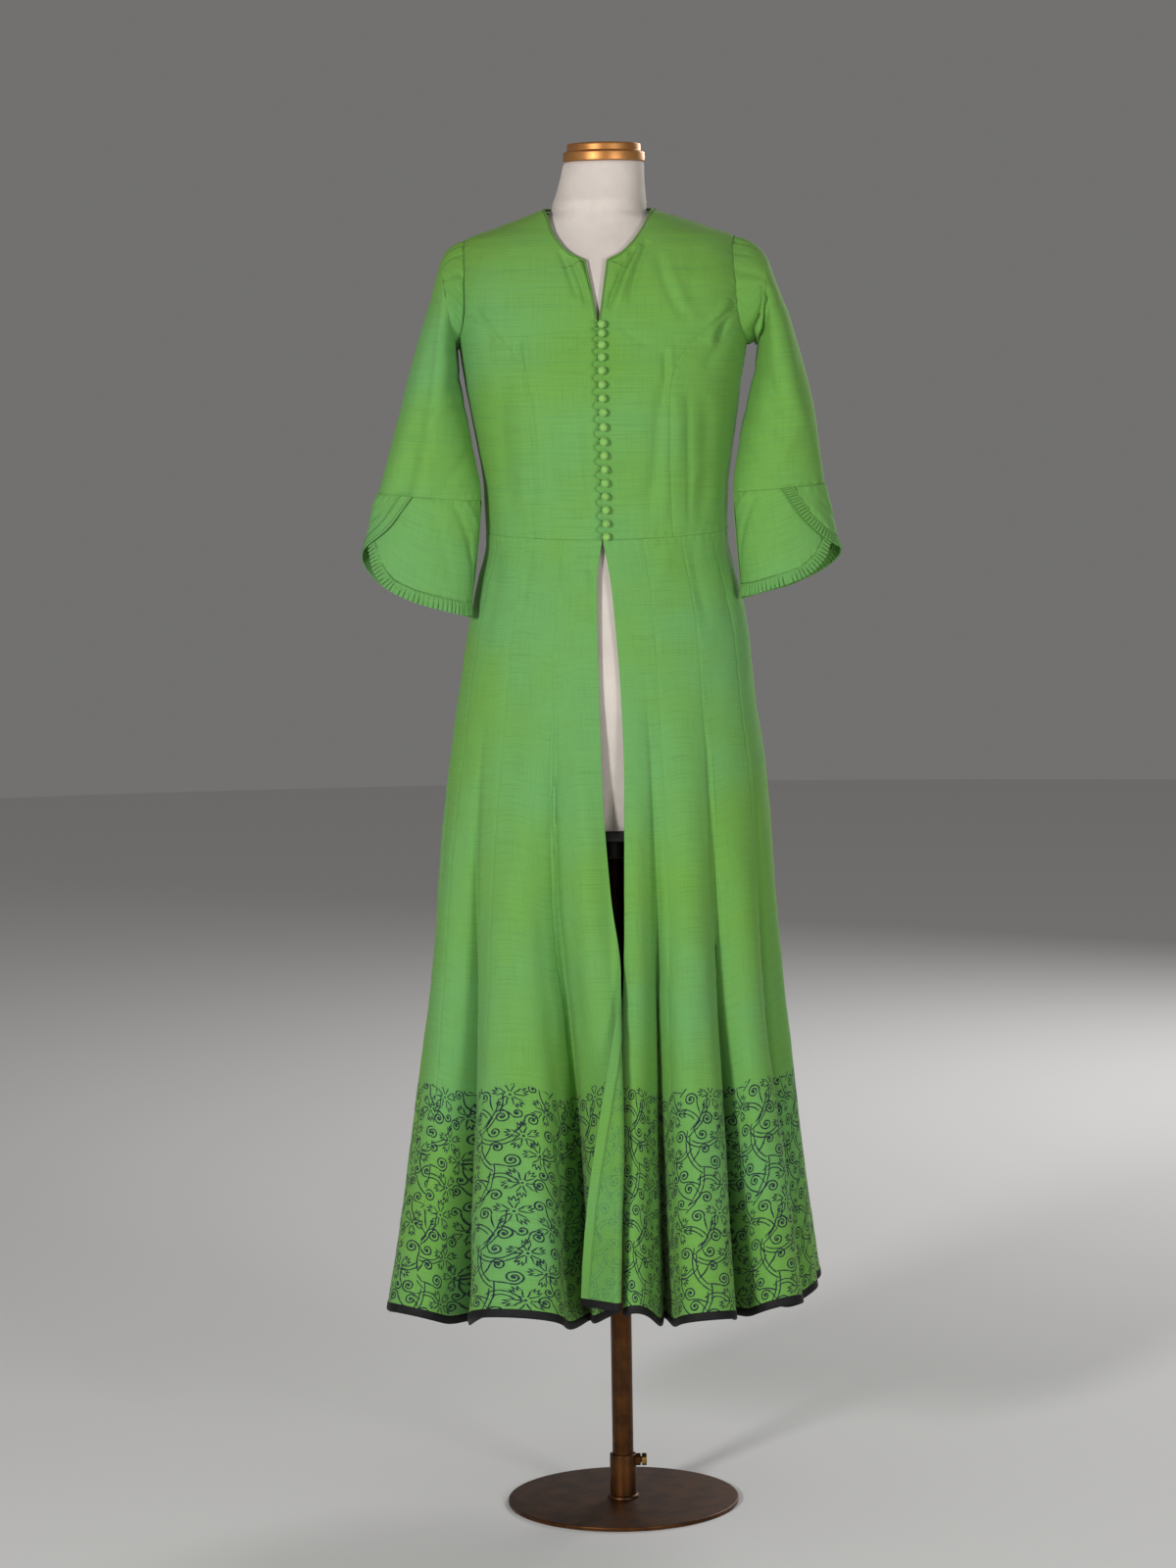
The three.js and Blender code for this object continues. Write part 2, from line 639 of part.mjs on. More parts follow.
buttonHeights().forEach((z, i) => {
  const centre = onFront(...rightEdge, buttonOffset, z, layerGap + buttonRadius).point;
  const sphere = new THREE.SphereGeometry(buttonRadius, 7, 4);
  const ball = mergeVertices(sphere.deleteAttribute('normal').deleteAttribute('uv'));
  ball.rotateX(Math.PI / 2);
  addTo(kurti, `button_${i + 1}`, ball, clothMaterial(colours.button)).position.copy(centre);
});

function buttonLoops() {
  const lowest = waistZ + loopFootGap;
  const heights = buttonHeights();
  const path = [];
  heights.forEach((z, i) => {
    const nearest = i === 0 ? heights[0] - heights[1] : heights[i - 1] - z;
    for (let k = 0; k < loopSteps; k += 1) {
      const share = (k + 0.5) / loopSteps - 0.5;
      const wave = Math.cos(2 * Math.PI * share);
      const distance = lerp(loopRest, loopReach, (wave + 1) / 2);
      const height = Math.max(z - share * Math.min(nearest, loopTallest), lowest - seamInset * k);
      path.push(onFront(...leftEdge, distance, height, layerGap + loopRadius));
    }
  });
  return cordAlong(path.map((p) => p.point), path.map((p) => p.up), loopRadius, 4);
}
addTo(kurti, 'button_loops', buttonLoops(), clothMaterial(colours.clothShade));

// Sleeves: a tube from the armhole through the section table
function sleeveShape(rows, side) {
  const numbered = rows.map((row, i) => ({ ...row, at: i + 1 }));
  const columns = ['outX', 'outZ', 'inX', 'inZ', 'forward', 'deep'];
  const curves = columns.map((column) => curve(numbered, 'at', column));
  const loopPoints = armholeLine.map(({ angle, z }) => bodyAt(side * angle, z));
  const loopCentre = vector(0, 0, 0);
  loopPoints.forEach((p) => loopCentre.addScaledVector(p, 1 / loopPoints.length));
  const setIn = clothWall / 2 + seamInset + layerGap;
  const start = loopPoints.map((p) => p.clone().add(loopCentre.clone().sub(p).setLength(setIn)));
  const loopAngles = armhole.map((_, i) => (i <= underarmRow
    ? (Math.PI * i) / underarmRow
    : Math.PI + (Math.PI * (i - underarmRow)) / (armhole.length - underarmRow)));
  const section = (turn, station) => {
    const [outX, outZ, inX, inZ, forward, deep] = curves.map((at) => at(Math.max(station, 1)));
    const middle = vector((outX + inX) / 2, -forward, (outZ + inZ) / 2);
    const reach = vector((outX - inX) / 2, 0, (outZ - inZ) / 2);
    return middle.addScaledVector(reach, Math.cos(turn)).add(vector(0, -deep * Math.sin(turn), 0));
  };
  const startAt = (turn) => {
    const full = ((turn % (2 * Math.PI)) + 2 * Math.PI) % (2 * Math.PI);
    const next = loopAngles.findIndex((angle) => angle > full);
    const after = next < 0 ? loopAngles.length : next;
    const low = loopAngles[after - 1];
    const high = after === loopAngles.length ? 2 * Math.PI : loopAngles[after];
    return start[after - 1].clone().lerp(start[after % start.length], (full - low) / (high - low));
  };
  const surface = (turn, station) => {
    if (station >= 1) return section(turn, station);
    const blend = clamp(station, 0, 1);
    const puff = capPuff * Math.sin(Math.PI * blend) * Math.max(0, Math.cos(turn));
    return startAt(turn).lerp(section(turn, 1), blend).add(vector(side * puff, 0, puff));
  };
  return { surface, loopAngles };
}

// Seen from the end of either sleeve its sections turn the other way on each side,
// so the columns are counted so that faces point outwards
function sleeveNormal(shape, side, turn, station) {
  const low = Math.max(station - 0.02, 0);
  const alongTurn = shape.surface(turn + 0.02, station).sub(shape.surface(turn - 0.02, station));
  const alongArm = shape.surface(turn, station + 0.02).sub(shape.surface(turn, low));
  return alongTurn.cross(alongArm).multiplyScalar(side).normalize();
}

function sleeveGeometry(shape, side) {
  const turns = side > 0 ? shape.loopAngles : shape.loopAngles.slice().reverse();
  const points = turns.map((turn) => sleeveStations.map((station) => shape.surface(turn, station)));
  const normals = turns.map((turn) =>
    sleeveStations.map((station) => sleeveNormal(shape, side, turn, station)));
  const last = sleeveStations.length - 1;
  points.forEach((column) => {
    const back = column[last - 1].clone().sub(column[last]).setLength(seamInset);
    column[last].add(back);
  });
  return clothWallFrom(points, normals, clothWall, true);
}

// Cuffs: two petals that overlap on the outer side, each with a knife-pleated edge
const cuffArc = 0.86;
const cuffLength = 122;
const petalDrop = curve(petalEdge, 'turn', 'drop');
const petalSamplePitch = 14;
const petalShortest = 4;
const petalRows = 3;

function petalPath(startAngle, endAngle, direction) {
  const total = Math.abs(endAngle - startAngle);
  const flat = (turned) => ({ across: turned * cuffArc, down: petalDrop(turned) * cuffLength });
  const fine = Array.from({ length: 401 }, (_, i) => flat((total * i) / 400));
  const lengths = [0];
  for (let i = 1; i < fine.length; i += 1) {
    const across = fine[i].across - fine[i - 1].across;
    const down = fine[i].down - fine[i - 1].down;
    lengths.push(lengths[i - 1] + Math.hypot(across, down));
  }
  const whole = lengths[lengths.length - 1];
  const pointAt = (length) => {
    const i = clamp(lengths.findIndex((l) => l >= length), 1, fine.length - 1);
    const t = (length - lengths[i - 1]) / (lengths[i] - lengths[i - 1]);
    const tangentX = fine[i].across - fine[i - 1].across;
    const tangentY = fine[i].down - fine[i - 1].down;
    const scale = 1 / Math.hypot(tangentX, tangentY);
    return {
      across: lerp(fine[i - 1].across, fine[i].across, t),
      down: lerp(fine[i - 1].down, fine[i].down, t),
      inX: tangentY * scale,
      inY: -tangentX * scale,
    };
  };
  const inset = (length, distance) => {
    const p = pointAt(length);
    return { across: p.across + p.inX * distance, down: Math.max(p.down + p.inY * distance, 0) };
  };
  const turnOf = (across) => radians(startAngle + (direction * across) / cuffArc);
  return { whole, inset, turnOf };
}

function cuffPetal(shape, side, name, startAngle, endAngle, lifts) {
  const direction = Math.sign(endAngle - startAngle);
  const path = petalPath(startAngle, endAngle, direction);
  const spans = Math.round(path.whole / petalSamplePitch);
  const place = (flat) => {
    const turn = path.turnOf(flat.across);
    const station = cuffStation + clamp(flat.down / cuffLength, 0, 1);
    const faded = THREE.MathUtils.smoothstep(flat.across / cuffArc, petalFade.from, petalFade.to);
    const apart = 1 - lifts.fade * faded;
    const lift = lerp(lifts.top, lifts.bottom, station - cuffStation) * apart;
    return shape.surface(turn, station).addScaledVector(sleeveNormal(shape, side, turn, station), lift);
  };
  const normalAt = (flat) => sleeveNormal(
    shape, side, path.turnOf(flat.across), cuffStation + clamp(flat.down / cuffLength, 0, 0.99));
  const outwardColumns = direction * side < 0;
  const ordered = (columns) => (outwardColumns ? columns : columns.slice().reverse());
  const edge = Array.from({ length: spans + 1 }, (_, i) => {
    const length = (path.whole * i) / spans;
    const bottom = path.inset(length, trimWidth + layerGap);
    return { across: bottom.across, down: Math.max(bottom.down, petalShortest) };
  });
  const acrossLimit = path.inset(path.whole, 0).across - seamInset;
  edge.forEach((point) => { point.across = Math.min(point.across, acrossLimit); });
  const columns = edge.map((point) => Array.from({ length: petalRows + 1 }, (_, j) =>
    ({ across: point.across, down: lerp(point.down, layerGap, j / petalRows) })));
  const flat = ordered(columns);
  const points = flat.map((column) => column.map((p) => place(p)));
  const normals = flat.map((column) => column.map(normalAt));
  addTo(kurti, name, clothWallFrom(points, normals, cuffWall), clothMaterial(colours.cloth));

  const pleats = Math.round(path.whole / pleatPitch);
  const low = cuffWall / 2;
  const stations = [];
  for (let k = 0; k < pleats; k += 1) {
    stations.push({ at: k / pleats, height: low }, { at: (k + pleatCrest) / pleats, height: pleatHeight });
  }
  stations.push({ at: 1, height: low });
  const strip = stations.map(({ at, height }) => {
    const span = Math.min(Math.floor(at * spans), spans - 1);
    const share = at * spans - span;
    const length = path.whole * at;
    const outerFlat = path.inset(length, 0);
    outerFlat.down = Math.max(outerFlat.down, layerGap);
    outerFlat.across = Math.min(outerFlat.across, acrossLimit);
    const inner = place(edge[span]).lerp(place(edge[span + 1]), share);
    const outer = place(outerFlat);
    const apart = outer.clone().sub(inner);
    inner.add(apart.clone().setLength(layerGap));
    const normal = normalAt(outerFlat);
    const face = (p, distance) => p.clone().addScaledVector(normal, distance);
    return {
      outer: [face(outer, height), face(inner, low)],
      inner: [face(outer, -low), face(inner, -low)],
    };
  });
  const orderedStrip = ordered(strip);
  addTo(
    kurti,
    `${name}_pleats`,
    wall(orderedStrip.map((s) => s.outer), orderedStrip.map((s) => s.inner)),
    clothMaterial(colours.clothShade),
  );
}

function addSleeve(word, side, rows, backStart) {
  const shape = sleeveShape(rows, side);
  addTo(kurti, `sleeve_${word}`, sleeveGeometry(shape, side), clothMaterial(colours.cloth));
  cuffPetal(shape, side, `cuff_${word}_front`, underPetalStart, 180, petalLifts.front);
  cuffPetal(shape, side, `cuff_${word}_back`, backStart, -180, petalLifts.back);
}
addSleeve('left', -1, leftSleeve, leftPetalStart);
addSleeve('right', 1, rightSleeve, rightPetalStart);

// The skirt: gores counted from the right front edge (0) round the back to the left one (16)
const waistRing = garmentRing(waistZ);
const goreAngle = (() => {
  const steps = 720;
  const angles = [0];
  const lengths = [0];
  let previous = onRing(waistRing, 0);
  for (let i = 1; i <= steps; i += 1) {
    const angle = (2 * Math.PI * i) / steps;
    const next = onRing(waistRing, angle);
    angles.push(angle);
    lengths.push(lengths[i - 1] + Math.hypot(next.side - previous.side, next.depth - previous.depth));
    previous = next;
  }
  return (gore) => {
    const length = (gore / goreCount) * lengths[steps];
    if (length <= 0) return length / waistRing.front;
    if (length >= lengths[steps]) return 2 * Math.PI + (length - lengths[steps]) / waistRing.front;
    const i = lengths.findIndex((l) => l >= length);
    return lerp(angles[i - 1], angles[i], (length - lengths[i - 1]) / (lengths[i] - lengths[i - 1]));
  };
})();

const edgeLeft = curve(frontEdges, 'z', 'left');
const edgeRight = curve(frontEdges, 'z', 'right');
const edgeTurned = curve(frontEdges, 'z', 'turned');
const edgeRoll = curve(frontEdges, 'z', 'roll');
const goreWidth = (z) => lerp(45.5, 144, clamp((waistZ - z) / (waistZ - hemFrontZ), 0, 1));
const foldAt = (z) => goreCount - edgeTurned(z) / goreWidth(z);

function fluteAt(gore) {
  return flutes.find((flute) => gore < flute.end) ?? flutes[flutes.length - 1];
}

// The cloth's plan at a height: the level ring, the flutes and the hang of the front edges
function skirtPlan(gore, z) {
  const fold = foldAt(z);
  const quarter = (3 * goreCount) / 4;
  const squeeze = (goreCount - quarter) / (fold - quarter);
  const ringGore = gore > quarter ? quarter + (gore - quarter) * squeeze : gore;
  const ring = garmentRing(z);
  const angle = goreAngle(ringGore);
  const ringPoint = (turn) => placed(ring, onRing(ring, turn), z);
  const here = ringPoint(angle);
  const ahead = ringPoint(angle + stepAngle).sub(ringPoint(angle - stepAngle)).normalize();
  const outward = ahead.clone().cross(vector(0, 0, 1));
  const flute = fluteAt(gore);
  const phase = (2 * Math.PI * (gore - flute.start)) / (flute.end - flute.start);
  const crest = (1 - Math.cos(phase)) / 2;
  const depth = clamp((flute.top - z) / (flute.top - hemFrontZ), 0, 1.1) ** 1.25;
  here.addScaledVector(outward, depth * flute.out * crest);
  here.addScaledVector(ahead, depth * (flute.lean * crest - flute.bulge * Math.sin(phase) * crest));
  const centre = ring.mid - ring.front * Math.sin(-radians(formTurn));
  here.x += (edgeRight(z) - centre) * Math.exp(-gore / edgeFalloff);
  here.x += (edgeLeft(z) - centre) * Math.exp(-(fold - Math.min(gore, fold)) / edgeFalloff);
  return here;
}

// Past the fold line the left front edge rolls over and lies back on its own outer face
function skirtLevel(gore, z) {
  const fold = foldAt(z);
  if (gore <= fold) return skirtPlan(gore, z);
  const start = skirtPlan(fold, z);
  const ahead = start.clone().sub(skirtPlan(fold - 0.02, z)).setZ(0).normalize();
  const outward = ahead.clone().cross(vector(0, 0, 1));
  const roll = edgeRoll(z);
  const length = (gore - fold) * goreWidth(z);
  const fullTurn = radians(fullRoll);
  const turn = Math.min(length / roll, fullTurn);
  const past = Math.max(length - roll * fullTurn, 0);
  return start
    .addScaledVector(ahead, roll * Math.sin(turn) + past * Math.cos(turn))
    .addScaledVector(outward, roll * (1 - Math.cos(turn)) + past * Math.sin(turn));
}

// The hem's height: each flute lifts it, the turned-out edge hangs level, the right side hangs higher
function hemAt(gore) {
  const flute = fluteAt(gore);
  const phase = (2 * Math.PI * (gore - flute.start)) / (flute.end - flute.start);
  const lastStart = flutes[flutes.length - 1].start;
  const crest = gore > lastStart ? Math.min(1, (gore - lastStart) / edgeHemRun) : (1 - Math.cos(phase)) / 2;
  const toRight = Math.max(0, Math.sin(goreAngle(clamp(gore, 0, goreCount))));
  return hemFrontZ + flute.lift * crest + hemSideRise * toRight;
}

// share 0 is the waist and 1 the hem, with the binding included
function skirtAt(gore, share) {
  const top = waistAt(goreAngle(clamp(gore, 0, goreCount)));
  return skirtLevel(gore, lerp(top, hemAt(gore), share));
}

const skirtNormal = (gore, share) => normalOf((a, b) => skirtAt(a, -b), gore, -share, 0.004, 0.004);

// The cut positions across a gore at one height. The outer gores keep a column where the
// facing ends, and the last one has columns round the roll of its turned-out edge.
function goreColumns(number, z) {
  const even = (count) => Array.from({ length: count + 1 }, (_, i) => i / count);
  const width = goreWidth(z);
  const facing = facingWidth / width;
  if (number === 0) return [0, facing / 2, ...even(5).map((t) => lerp(facing, 1, t))];
  if (number < goreCount - 1) return even(6).map((t) => number + t);
  const turned = Math.max(edgeTurned(z), facingWidth + 3) / width;
  const plain = even(5).map((t) => lerp(0, 1 - turned, t));
  const rolled = even(5).slice(1).map((t) => lerp(1 - turned, 1 - facing, t ** 1.4));
  return [...plain, ...rolled, 1 - facing / 2, 1].map((t) => number + t);
}

function skirtGrid(number, shares) {
  const top = waistAt(goreAngle(number + 0.5));
  const cuts = shares.map((share) => goreColumns(number, lerp(top, hemAt(number + 0.5), share)));
  return cuts[0].map((_, i) => shares.map((share, j) => [cuts[j][i], share]));
}

const bindingShare = bindingHeight / (waistZ - hemFrontZ);
const aboveBinding = (rows) => rows.map((share) => share * (1 - bindingShare)).sort((a, b) => b - a);
const goreShares = aboveBinding(skirtRows);
const rolledShares = aboveBinding([...skirtRows, ...rollRows]);

// Puts the points of a seam's extra rows on the straight line between its neighbours' rows
function straightenSeam(column, shares) {
  return column.map((point, j) => {
    if (goreShares.includes(shares[j])) return point;
    const below = shares.findLastIndex((share, k) => k < j && goreShares.includes(share));
    const above = shares.findIndex((share, k) => k > j && goreShares.includes(share));
    const along = (shares[j] - shares[below]) / (shares[above] - shares[below]);
    return column[below].clone().lerp(column[above], along);
  });
}

const skirtParts = [];
for (let number = 0; number < goreCount; number += 1) {
  const rolled = number === goreCount - 1;
  const shares = rolled ? rolledShares : goreShares;
  const grid = skirtGrid(number, shares);
  const points = grid.map((column) => column.map(([gore, share]) => skirtAt(gore, share)));
  const normals = grid.map((column) => column.map(([gore, share]) => skirtNormal(gore, share)));
  if (rolled) {
    points[0] = straightenSeam(points[0], shares);
    normals[0] = straightenSeam(normals[0], shares).map((normal) => normal.normalize());
  }
  const panel = { points: insetGrid(points, normals, plainInsets), normals };
  addPanel(`skirt_gore_${number + 1}`, panel);
  skirtParts.push(panel);
}

// Facings: a narrow strip on the wrong side of each front edge, from the edge's own points
function facing(columns) {
  const lift = -(clothWall / 2 + 2 * layerGap + facingWall / 2);
  const inset = insetGrid(
    columns.map((c) => c.points),
    columns.map((c) => c.normals),
    {
      first: () => facingSideInset,
      last: () => facingSideInset,
      bottom: () => facingEndInset,
      top: () => facingEndInset,
    },
  );
  return clothWallFrom(inset, columns.map((c) => c.normals), facingWall, false, lift);
}
const facingColumns = 3;
const columnsOf = (panel, from) => panel.points.slice(from, from + facingColumns).map((points, i) =>
  ({ points, normals: panel.normals[from + i] }));
const lastGore = skirtParts[goreCount - 1];
const leftFacing = facing(columnsOf(lastGore, lastGore.points.length - facingColumns));
const rightFacing = facing(columnsOf(skirtParts[0], 0));
addTo(kurti, 'front_facing_left', leftFacing, clothMaterial(colours.clothShade));
addTo(kurti, 'front_facing_right', rightFacing, clothMaterial(colours.clothShade));

// The hem binding: one strip below all the gores
function hemBinding() {
  const low = 1;
  const high = 1 - bindingShare + layerGap / (waistZ - hemFrontZ);
  const columns = [];
  for (let number = 0; number < goreCount; number += 1) {
    const cuts = skirtGrid(number, [low, goreShares[0]]);
    const kept = number === 0 ? cuts : cuts.slice(1);
    kept.forEach(([foot, head]) => columns.push([[foot[0], low], [head[0], high]]));
  }
  const points = columns.map((column) => column.map(([gore, share]) => skirtAt(gore, share)));
  const normals = columns.map((column) => column.map(([gore, share]) => skirtNormal(gore, share)));
  return clothWallFrom(points, normals, bindingWall);
}
addTo(kurti, 'hem_binding', hemBinding(), clothMaterial(colours.binding));

// The dress form: one closed body from its flat foot to the top of its neck
function ringSolid(rings) {
  const sides = rings[0].length;
  const points = [...rings.flat()];
  const faces = [];
  for (let r = 0; r < rings.length - 1; r += 1) {
    for (let k = 0; k < sides; k += 1) {
      const next = (k + 1) % sides;
      const a = r * sides + k;
      const b = r * sides + next;
      faces.push([a, b, b + sides], [a, b + sides, a + sides]);
    }
  }
  const centreOf = (ring) => ring.reduce((sum, p) => sum.add(p), vector(0, 0, 0)).divideScalar(sides);
  const bottom = points.push(centreOf(rings[0])) - 1;
  const top = points.push(centreOf(rings[rings.length - 1])) - 1;
  const lastStart = (rings.length - 1) * sides;
  for (let k = 0; k < sides; k += 1) {
    const next = (k + 1) % sides;
    faces.push([bottom, next, k], [top, lastStart + k, lastStart + next]);
  }
  return geometryFrom(points, faces);
}

const formSides = 24;
const formClearance = 6;
const neckClearance = 6.65;
const neckStartZ = 1515;
const formAngles = Array.from({ length: formSides }, (_, k) => (2 * Math.PI * k) / formSides);
function dressForm() {
  const lowHeights = [formFootZ, 850, 900, 960, 1020, 1070, 1115];
  const highHeights = [1160, 1210, 1255, 1295, 1335, 1375, 1415, 1450, 1475, 1491, 1503, 1515, 1524, 1531];
  const low = lowHeights.map((z) => formAngles.map((angle) => {
    const ring = formRing(z);
    return placed(ring, onRing(ring, angle), z);
  }));
  const high = highHeights.map((z) => formAngles.map((angle) => bodyAt(angle, z)
    .addScaledVector(bodyNormal(angle, z), z > neckStartZ ? -neckClearance : -formClearance)));
  const neck = neckSections.map(({ z, mid, radius }) => formAngles.map((angle) => {
    const turn = angle + radians(formTurn);
    return vector(mid + radius * Math.sin(turn), -radius * Math.cos(turn), z);
  }));
  return ringSolid([...low, ...high, ...neck]);
}

const stand = new THREE.Group();
addTo(stand, 'dress_form', dressForm(), clothMaterial(colours.form, 0.8));

const boardInset = 2;
const boardTop = formFootZ - layerGap;
function formBoard() {
  const ring = formRing(formFootZ);
  const slim = { ...ring };
  for (const column of ['left', 'right', 'front', 'back']) slim[column] -= boardInset;
  const level = (z) => formAngles.map((angle) => placed(slim, onRing(slim, angle), z));
  return ringSolid([level(boardTop - boardThick), level(boardTop)]);
}

// A solid turned about the upright axis from a profile of radii and heights
function turned(profile, sides) {
  const geometry = new THREE.LatheGeometry(profile.map(([r, z]) => new THREE.Vector2(r, z)), sides);
  geometry.rotateX(Math.PI / 2);
  geometry.deleteAttribute('normal');
  geometry.deleteAttribute('uv');
  return mergeVertices(geometry, 1e-4);
}

const capFoot = formTopZ + layerGap;
const capTierBulge = 2.5;
addTo(stand, 'neck_cap', turned([
  [0, capFoot],
  [capRadius, capFoot],
  [capRadius, capBandTop],
  [capRadius - 1.5, capBandTop + 1.5],
  [capTierRadius + 1, capBandTop + 2.5],
  [capTierRadius + capTierBulge, capBandTop + 4],
  [capTierRadius + capTierBulge, capTop - 3],
  [capTierRadius, capTop],
  [0, capTop],
], 28), metalMaterial(colours.gold));

const collarFoot = plateThick + layerGap;
addTo(stand, 'pole', turned([
  [0, collarFoot],
  [poleRadius, collarFoot],
  [poleRadius, poleTop],
  [0, poleTop],
], 24), metalMaterial(colours.bronze, 0.45));

const plateEdge = 1;
addTo(stand, 'base_plate', turned([
  [0, 0],
  [plateRadius - plateEdge, 0],
  [plateRadius, plateEdge],
  [plateRadius, plateThick - plateEdge],
  [plateRadius - plateEdge, plateThick],
  [0, plateThick],
], 48), metalMaterial(colours.bronze, 0.45));

const manifold = await Module();
manifold.setup();
function solidOf(geometry) {
  const plain = geometry.clone();
  plain.deleteAttribute('normal');
  plain.deleteAttribute('uv');
  const merged = mergeVertices(plain, 1e-4);
  return new manifold.Manifold(new manifold.Mesh({
    numProp: 3,
    vertProperties: new Float32Array(merged.attributes.position.array),
    triVerts: new Uint32Array(merged.index.array),
  }));
}
function geometryOf(solid) {
  const mesh = solid.getMesh();
  const geometry = new THREE.BufferGeometry();
  geometry.setAttribute('position', new THREE.BufferAttribute(new Float32Array(mesh.vertProperties), 3));
  geometry.setIndex(Array.from(mesh.triVerts));
  geometry.computeVertexNormals();
  return geometry;
}

// The form's board and, under it, the hub with the blind bore that sits on the pole
const hubTop = formFootZ - boardThick;
const hubBore = poleRadius + boreClearance;
const boreTop = poleTop + boreClearance;
const hub = turned([
  [0, boreTop],
  [hubBore, boreTop],
  [hubBore, hubFoot],
  [hubRadius, hubFoot],
  [hubRadius, hubTop],
  [0, hubTop],
], 32);
const boardSolid = solidOf(formBoard()).add(solidOf(hub));
addTo(stand, 'form_board', geometryOf(boardSolid), clothMaterial(colours.board, 0.3));

// The collar that the pole stands in, with the nut welded on and the hole for the set bolt
const hexRadius = boltHeadAcross / Math.sqrt(3);
const collarChamfer = 0.8;
const collarTube = turned([
  [collarBore, collarFoot],
  [weldRadius, collarFoot],
  [weldRadius - 1, collarFoot + 2.5],
  [collarOuter, collarFoot + 4.5],
  [collarOuter, collarTop - collarChamfer],
  [collarOuter - collarChamfer, collarTop],
  [collarBore, collarTop],
  [collarBore, collarFoot],
], 24);
const nutStart = collarOuter - 1.2;
const holeRadius = boltRadius + boreClearance;
const holeLength = 30;
const crossHole = new THREE.CylinderGeometry(holeRadius, holeRadius, holeLength, 16);
crossHole.rotateZ(Math.PI / 2);
crossHole.translate(nutStart + nutThick, 0, screwZ);

function hexagon() {
  const shape = new THREE.Shape();
  for (let k = 0; k < 6; k += 1) {
    const turn = (Math.PI * k) / 3;
    const x = hexRadius * Math.cos(turn);
    const y = hexRadius * Math.sin(turn);
    if (k === 0) shape.moveTo(x, y);
    else shape.lineTo(x, y);
  }
  shape.closePath();
  return shape;
}
const nut = new THREE.ExtrudeGeometry(hexagon(), { depth: nutThick, bevelEnabled: false });
nut.rotateY(Math.PI / 2);
nut.translate(nutStart, 0, screwZ);
const collarSolid = solidOf(collarTube).add(solidOf(nut)).subtract(solidOf(crossHole));
addTo(stand, 'collar', geometryOf(collarSolid), metalMaterial(colours.bronze, 0.5));

const headStart = nutStart + nutThick + 1.2;
const boltHead = new THREE.ExtrudeGeometry(hexagon(), { depth: boltHeadThick, bevelEnabled: false });
boltHead.rotateY(Math.PI / 2);
boltHead.translate(headStart, 0, screwZ);
const shankStart = poleRadius + boreClearance;
const shankEnd = headStart + 1;
const shank = new THREE.CylinderGeometry(boltRadius, boltRadius, shankEnd - shankStart, 16);
shank.rotateZ(Math.PI / 2);
shank.translate((shankEnd + shankStart) / 2, 0, screwZ);
const boltSolid = solidOf(boltHead).add(solidOf(shank));
addTo(stand, 'set_bolt', geometryOf(boltSolid), metalMaterial(colours.steel, 0.3));

const part = new THREE.Group();
part.add(kurti, stand);

export default part;
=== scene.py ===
import json
import math

import bpy
import numpy as np
from mathutils import Matrix, Vector

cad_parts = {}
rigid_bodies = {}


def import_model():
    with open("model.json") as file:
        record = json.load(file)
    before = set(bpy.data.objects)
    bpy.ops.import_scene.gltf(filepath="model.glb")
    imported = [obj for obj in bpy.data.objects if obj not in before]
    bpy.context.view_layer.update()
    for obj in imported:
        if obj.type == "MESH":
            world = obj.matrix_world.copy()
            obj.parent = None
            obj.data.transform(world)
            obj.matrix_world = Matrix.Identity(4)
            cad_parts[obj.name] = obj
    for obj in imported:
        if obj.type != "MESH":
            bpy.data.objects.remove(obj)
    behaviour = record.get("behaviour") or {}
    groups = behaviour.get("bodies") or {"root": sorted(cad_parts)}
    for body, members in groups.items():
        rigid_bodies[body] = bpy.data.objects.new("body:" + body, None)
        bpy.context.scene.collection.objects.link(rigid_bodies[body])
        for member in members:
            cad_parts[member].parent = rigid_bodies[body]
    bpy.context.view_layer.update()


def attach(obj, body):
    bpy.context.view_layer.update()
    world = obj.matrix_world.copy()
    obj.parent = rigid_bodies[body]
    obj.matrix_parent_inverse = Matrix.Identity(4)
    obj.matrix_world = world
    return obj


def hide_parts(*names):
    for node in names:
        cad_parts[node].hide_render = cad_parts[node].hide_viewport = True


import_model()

mm = 0.001  # every size below is in millimetres, and meshes are made in metres
print("frame loaded")


def tableOf(columns, *rows):
    # rows with named columns; what a row leaves out at its end is 0
    names = columns.split()
    return [dict(zip(names, row + (0,) * (len(names) - len(row)))) for row in rows]


garment = {
    "waistZ": 1151, "waistSideLift": 7, "neckSideZ": 1531, "neckBackDip": 4, "hemFrontZ": 232,
    "formTurn": -2.9, "clothThick": 0.8, "hemSideRise": 14, "goreCount": 16, "bindingHeight": 10,
}

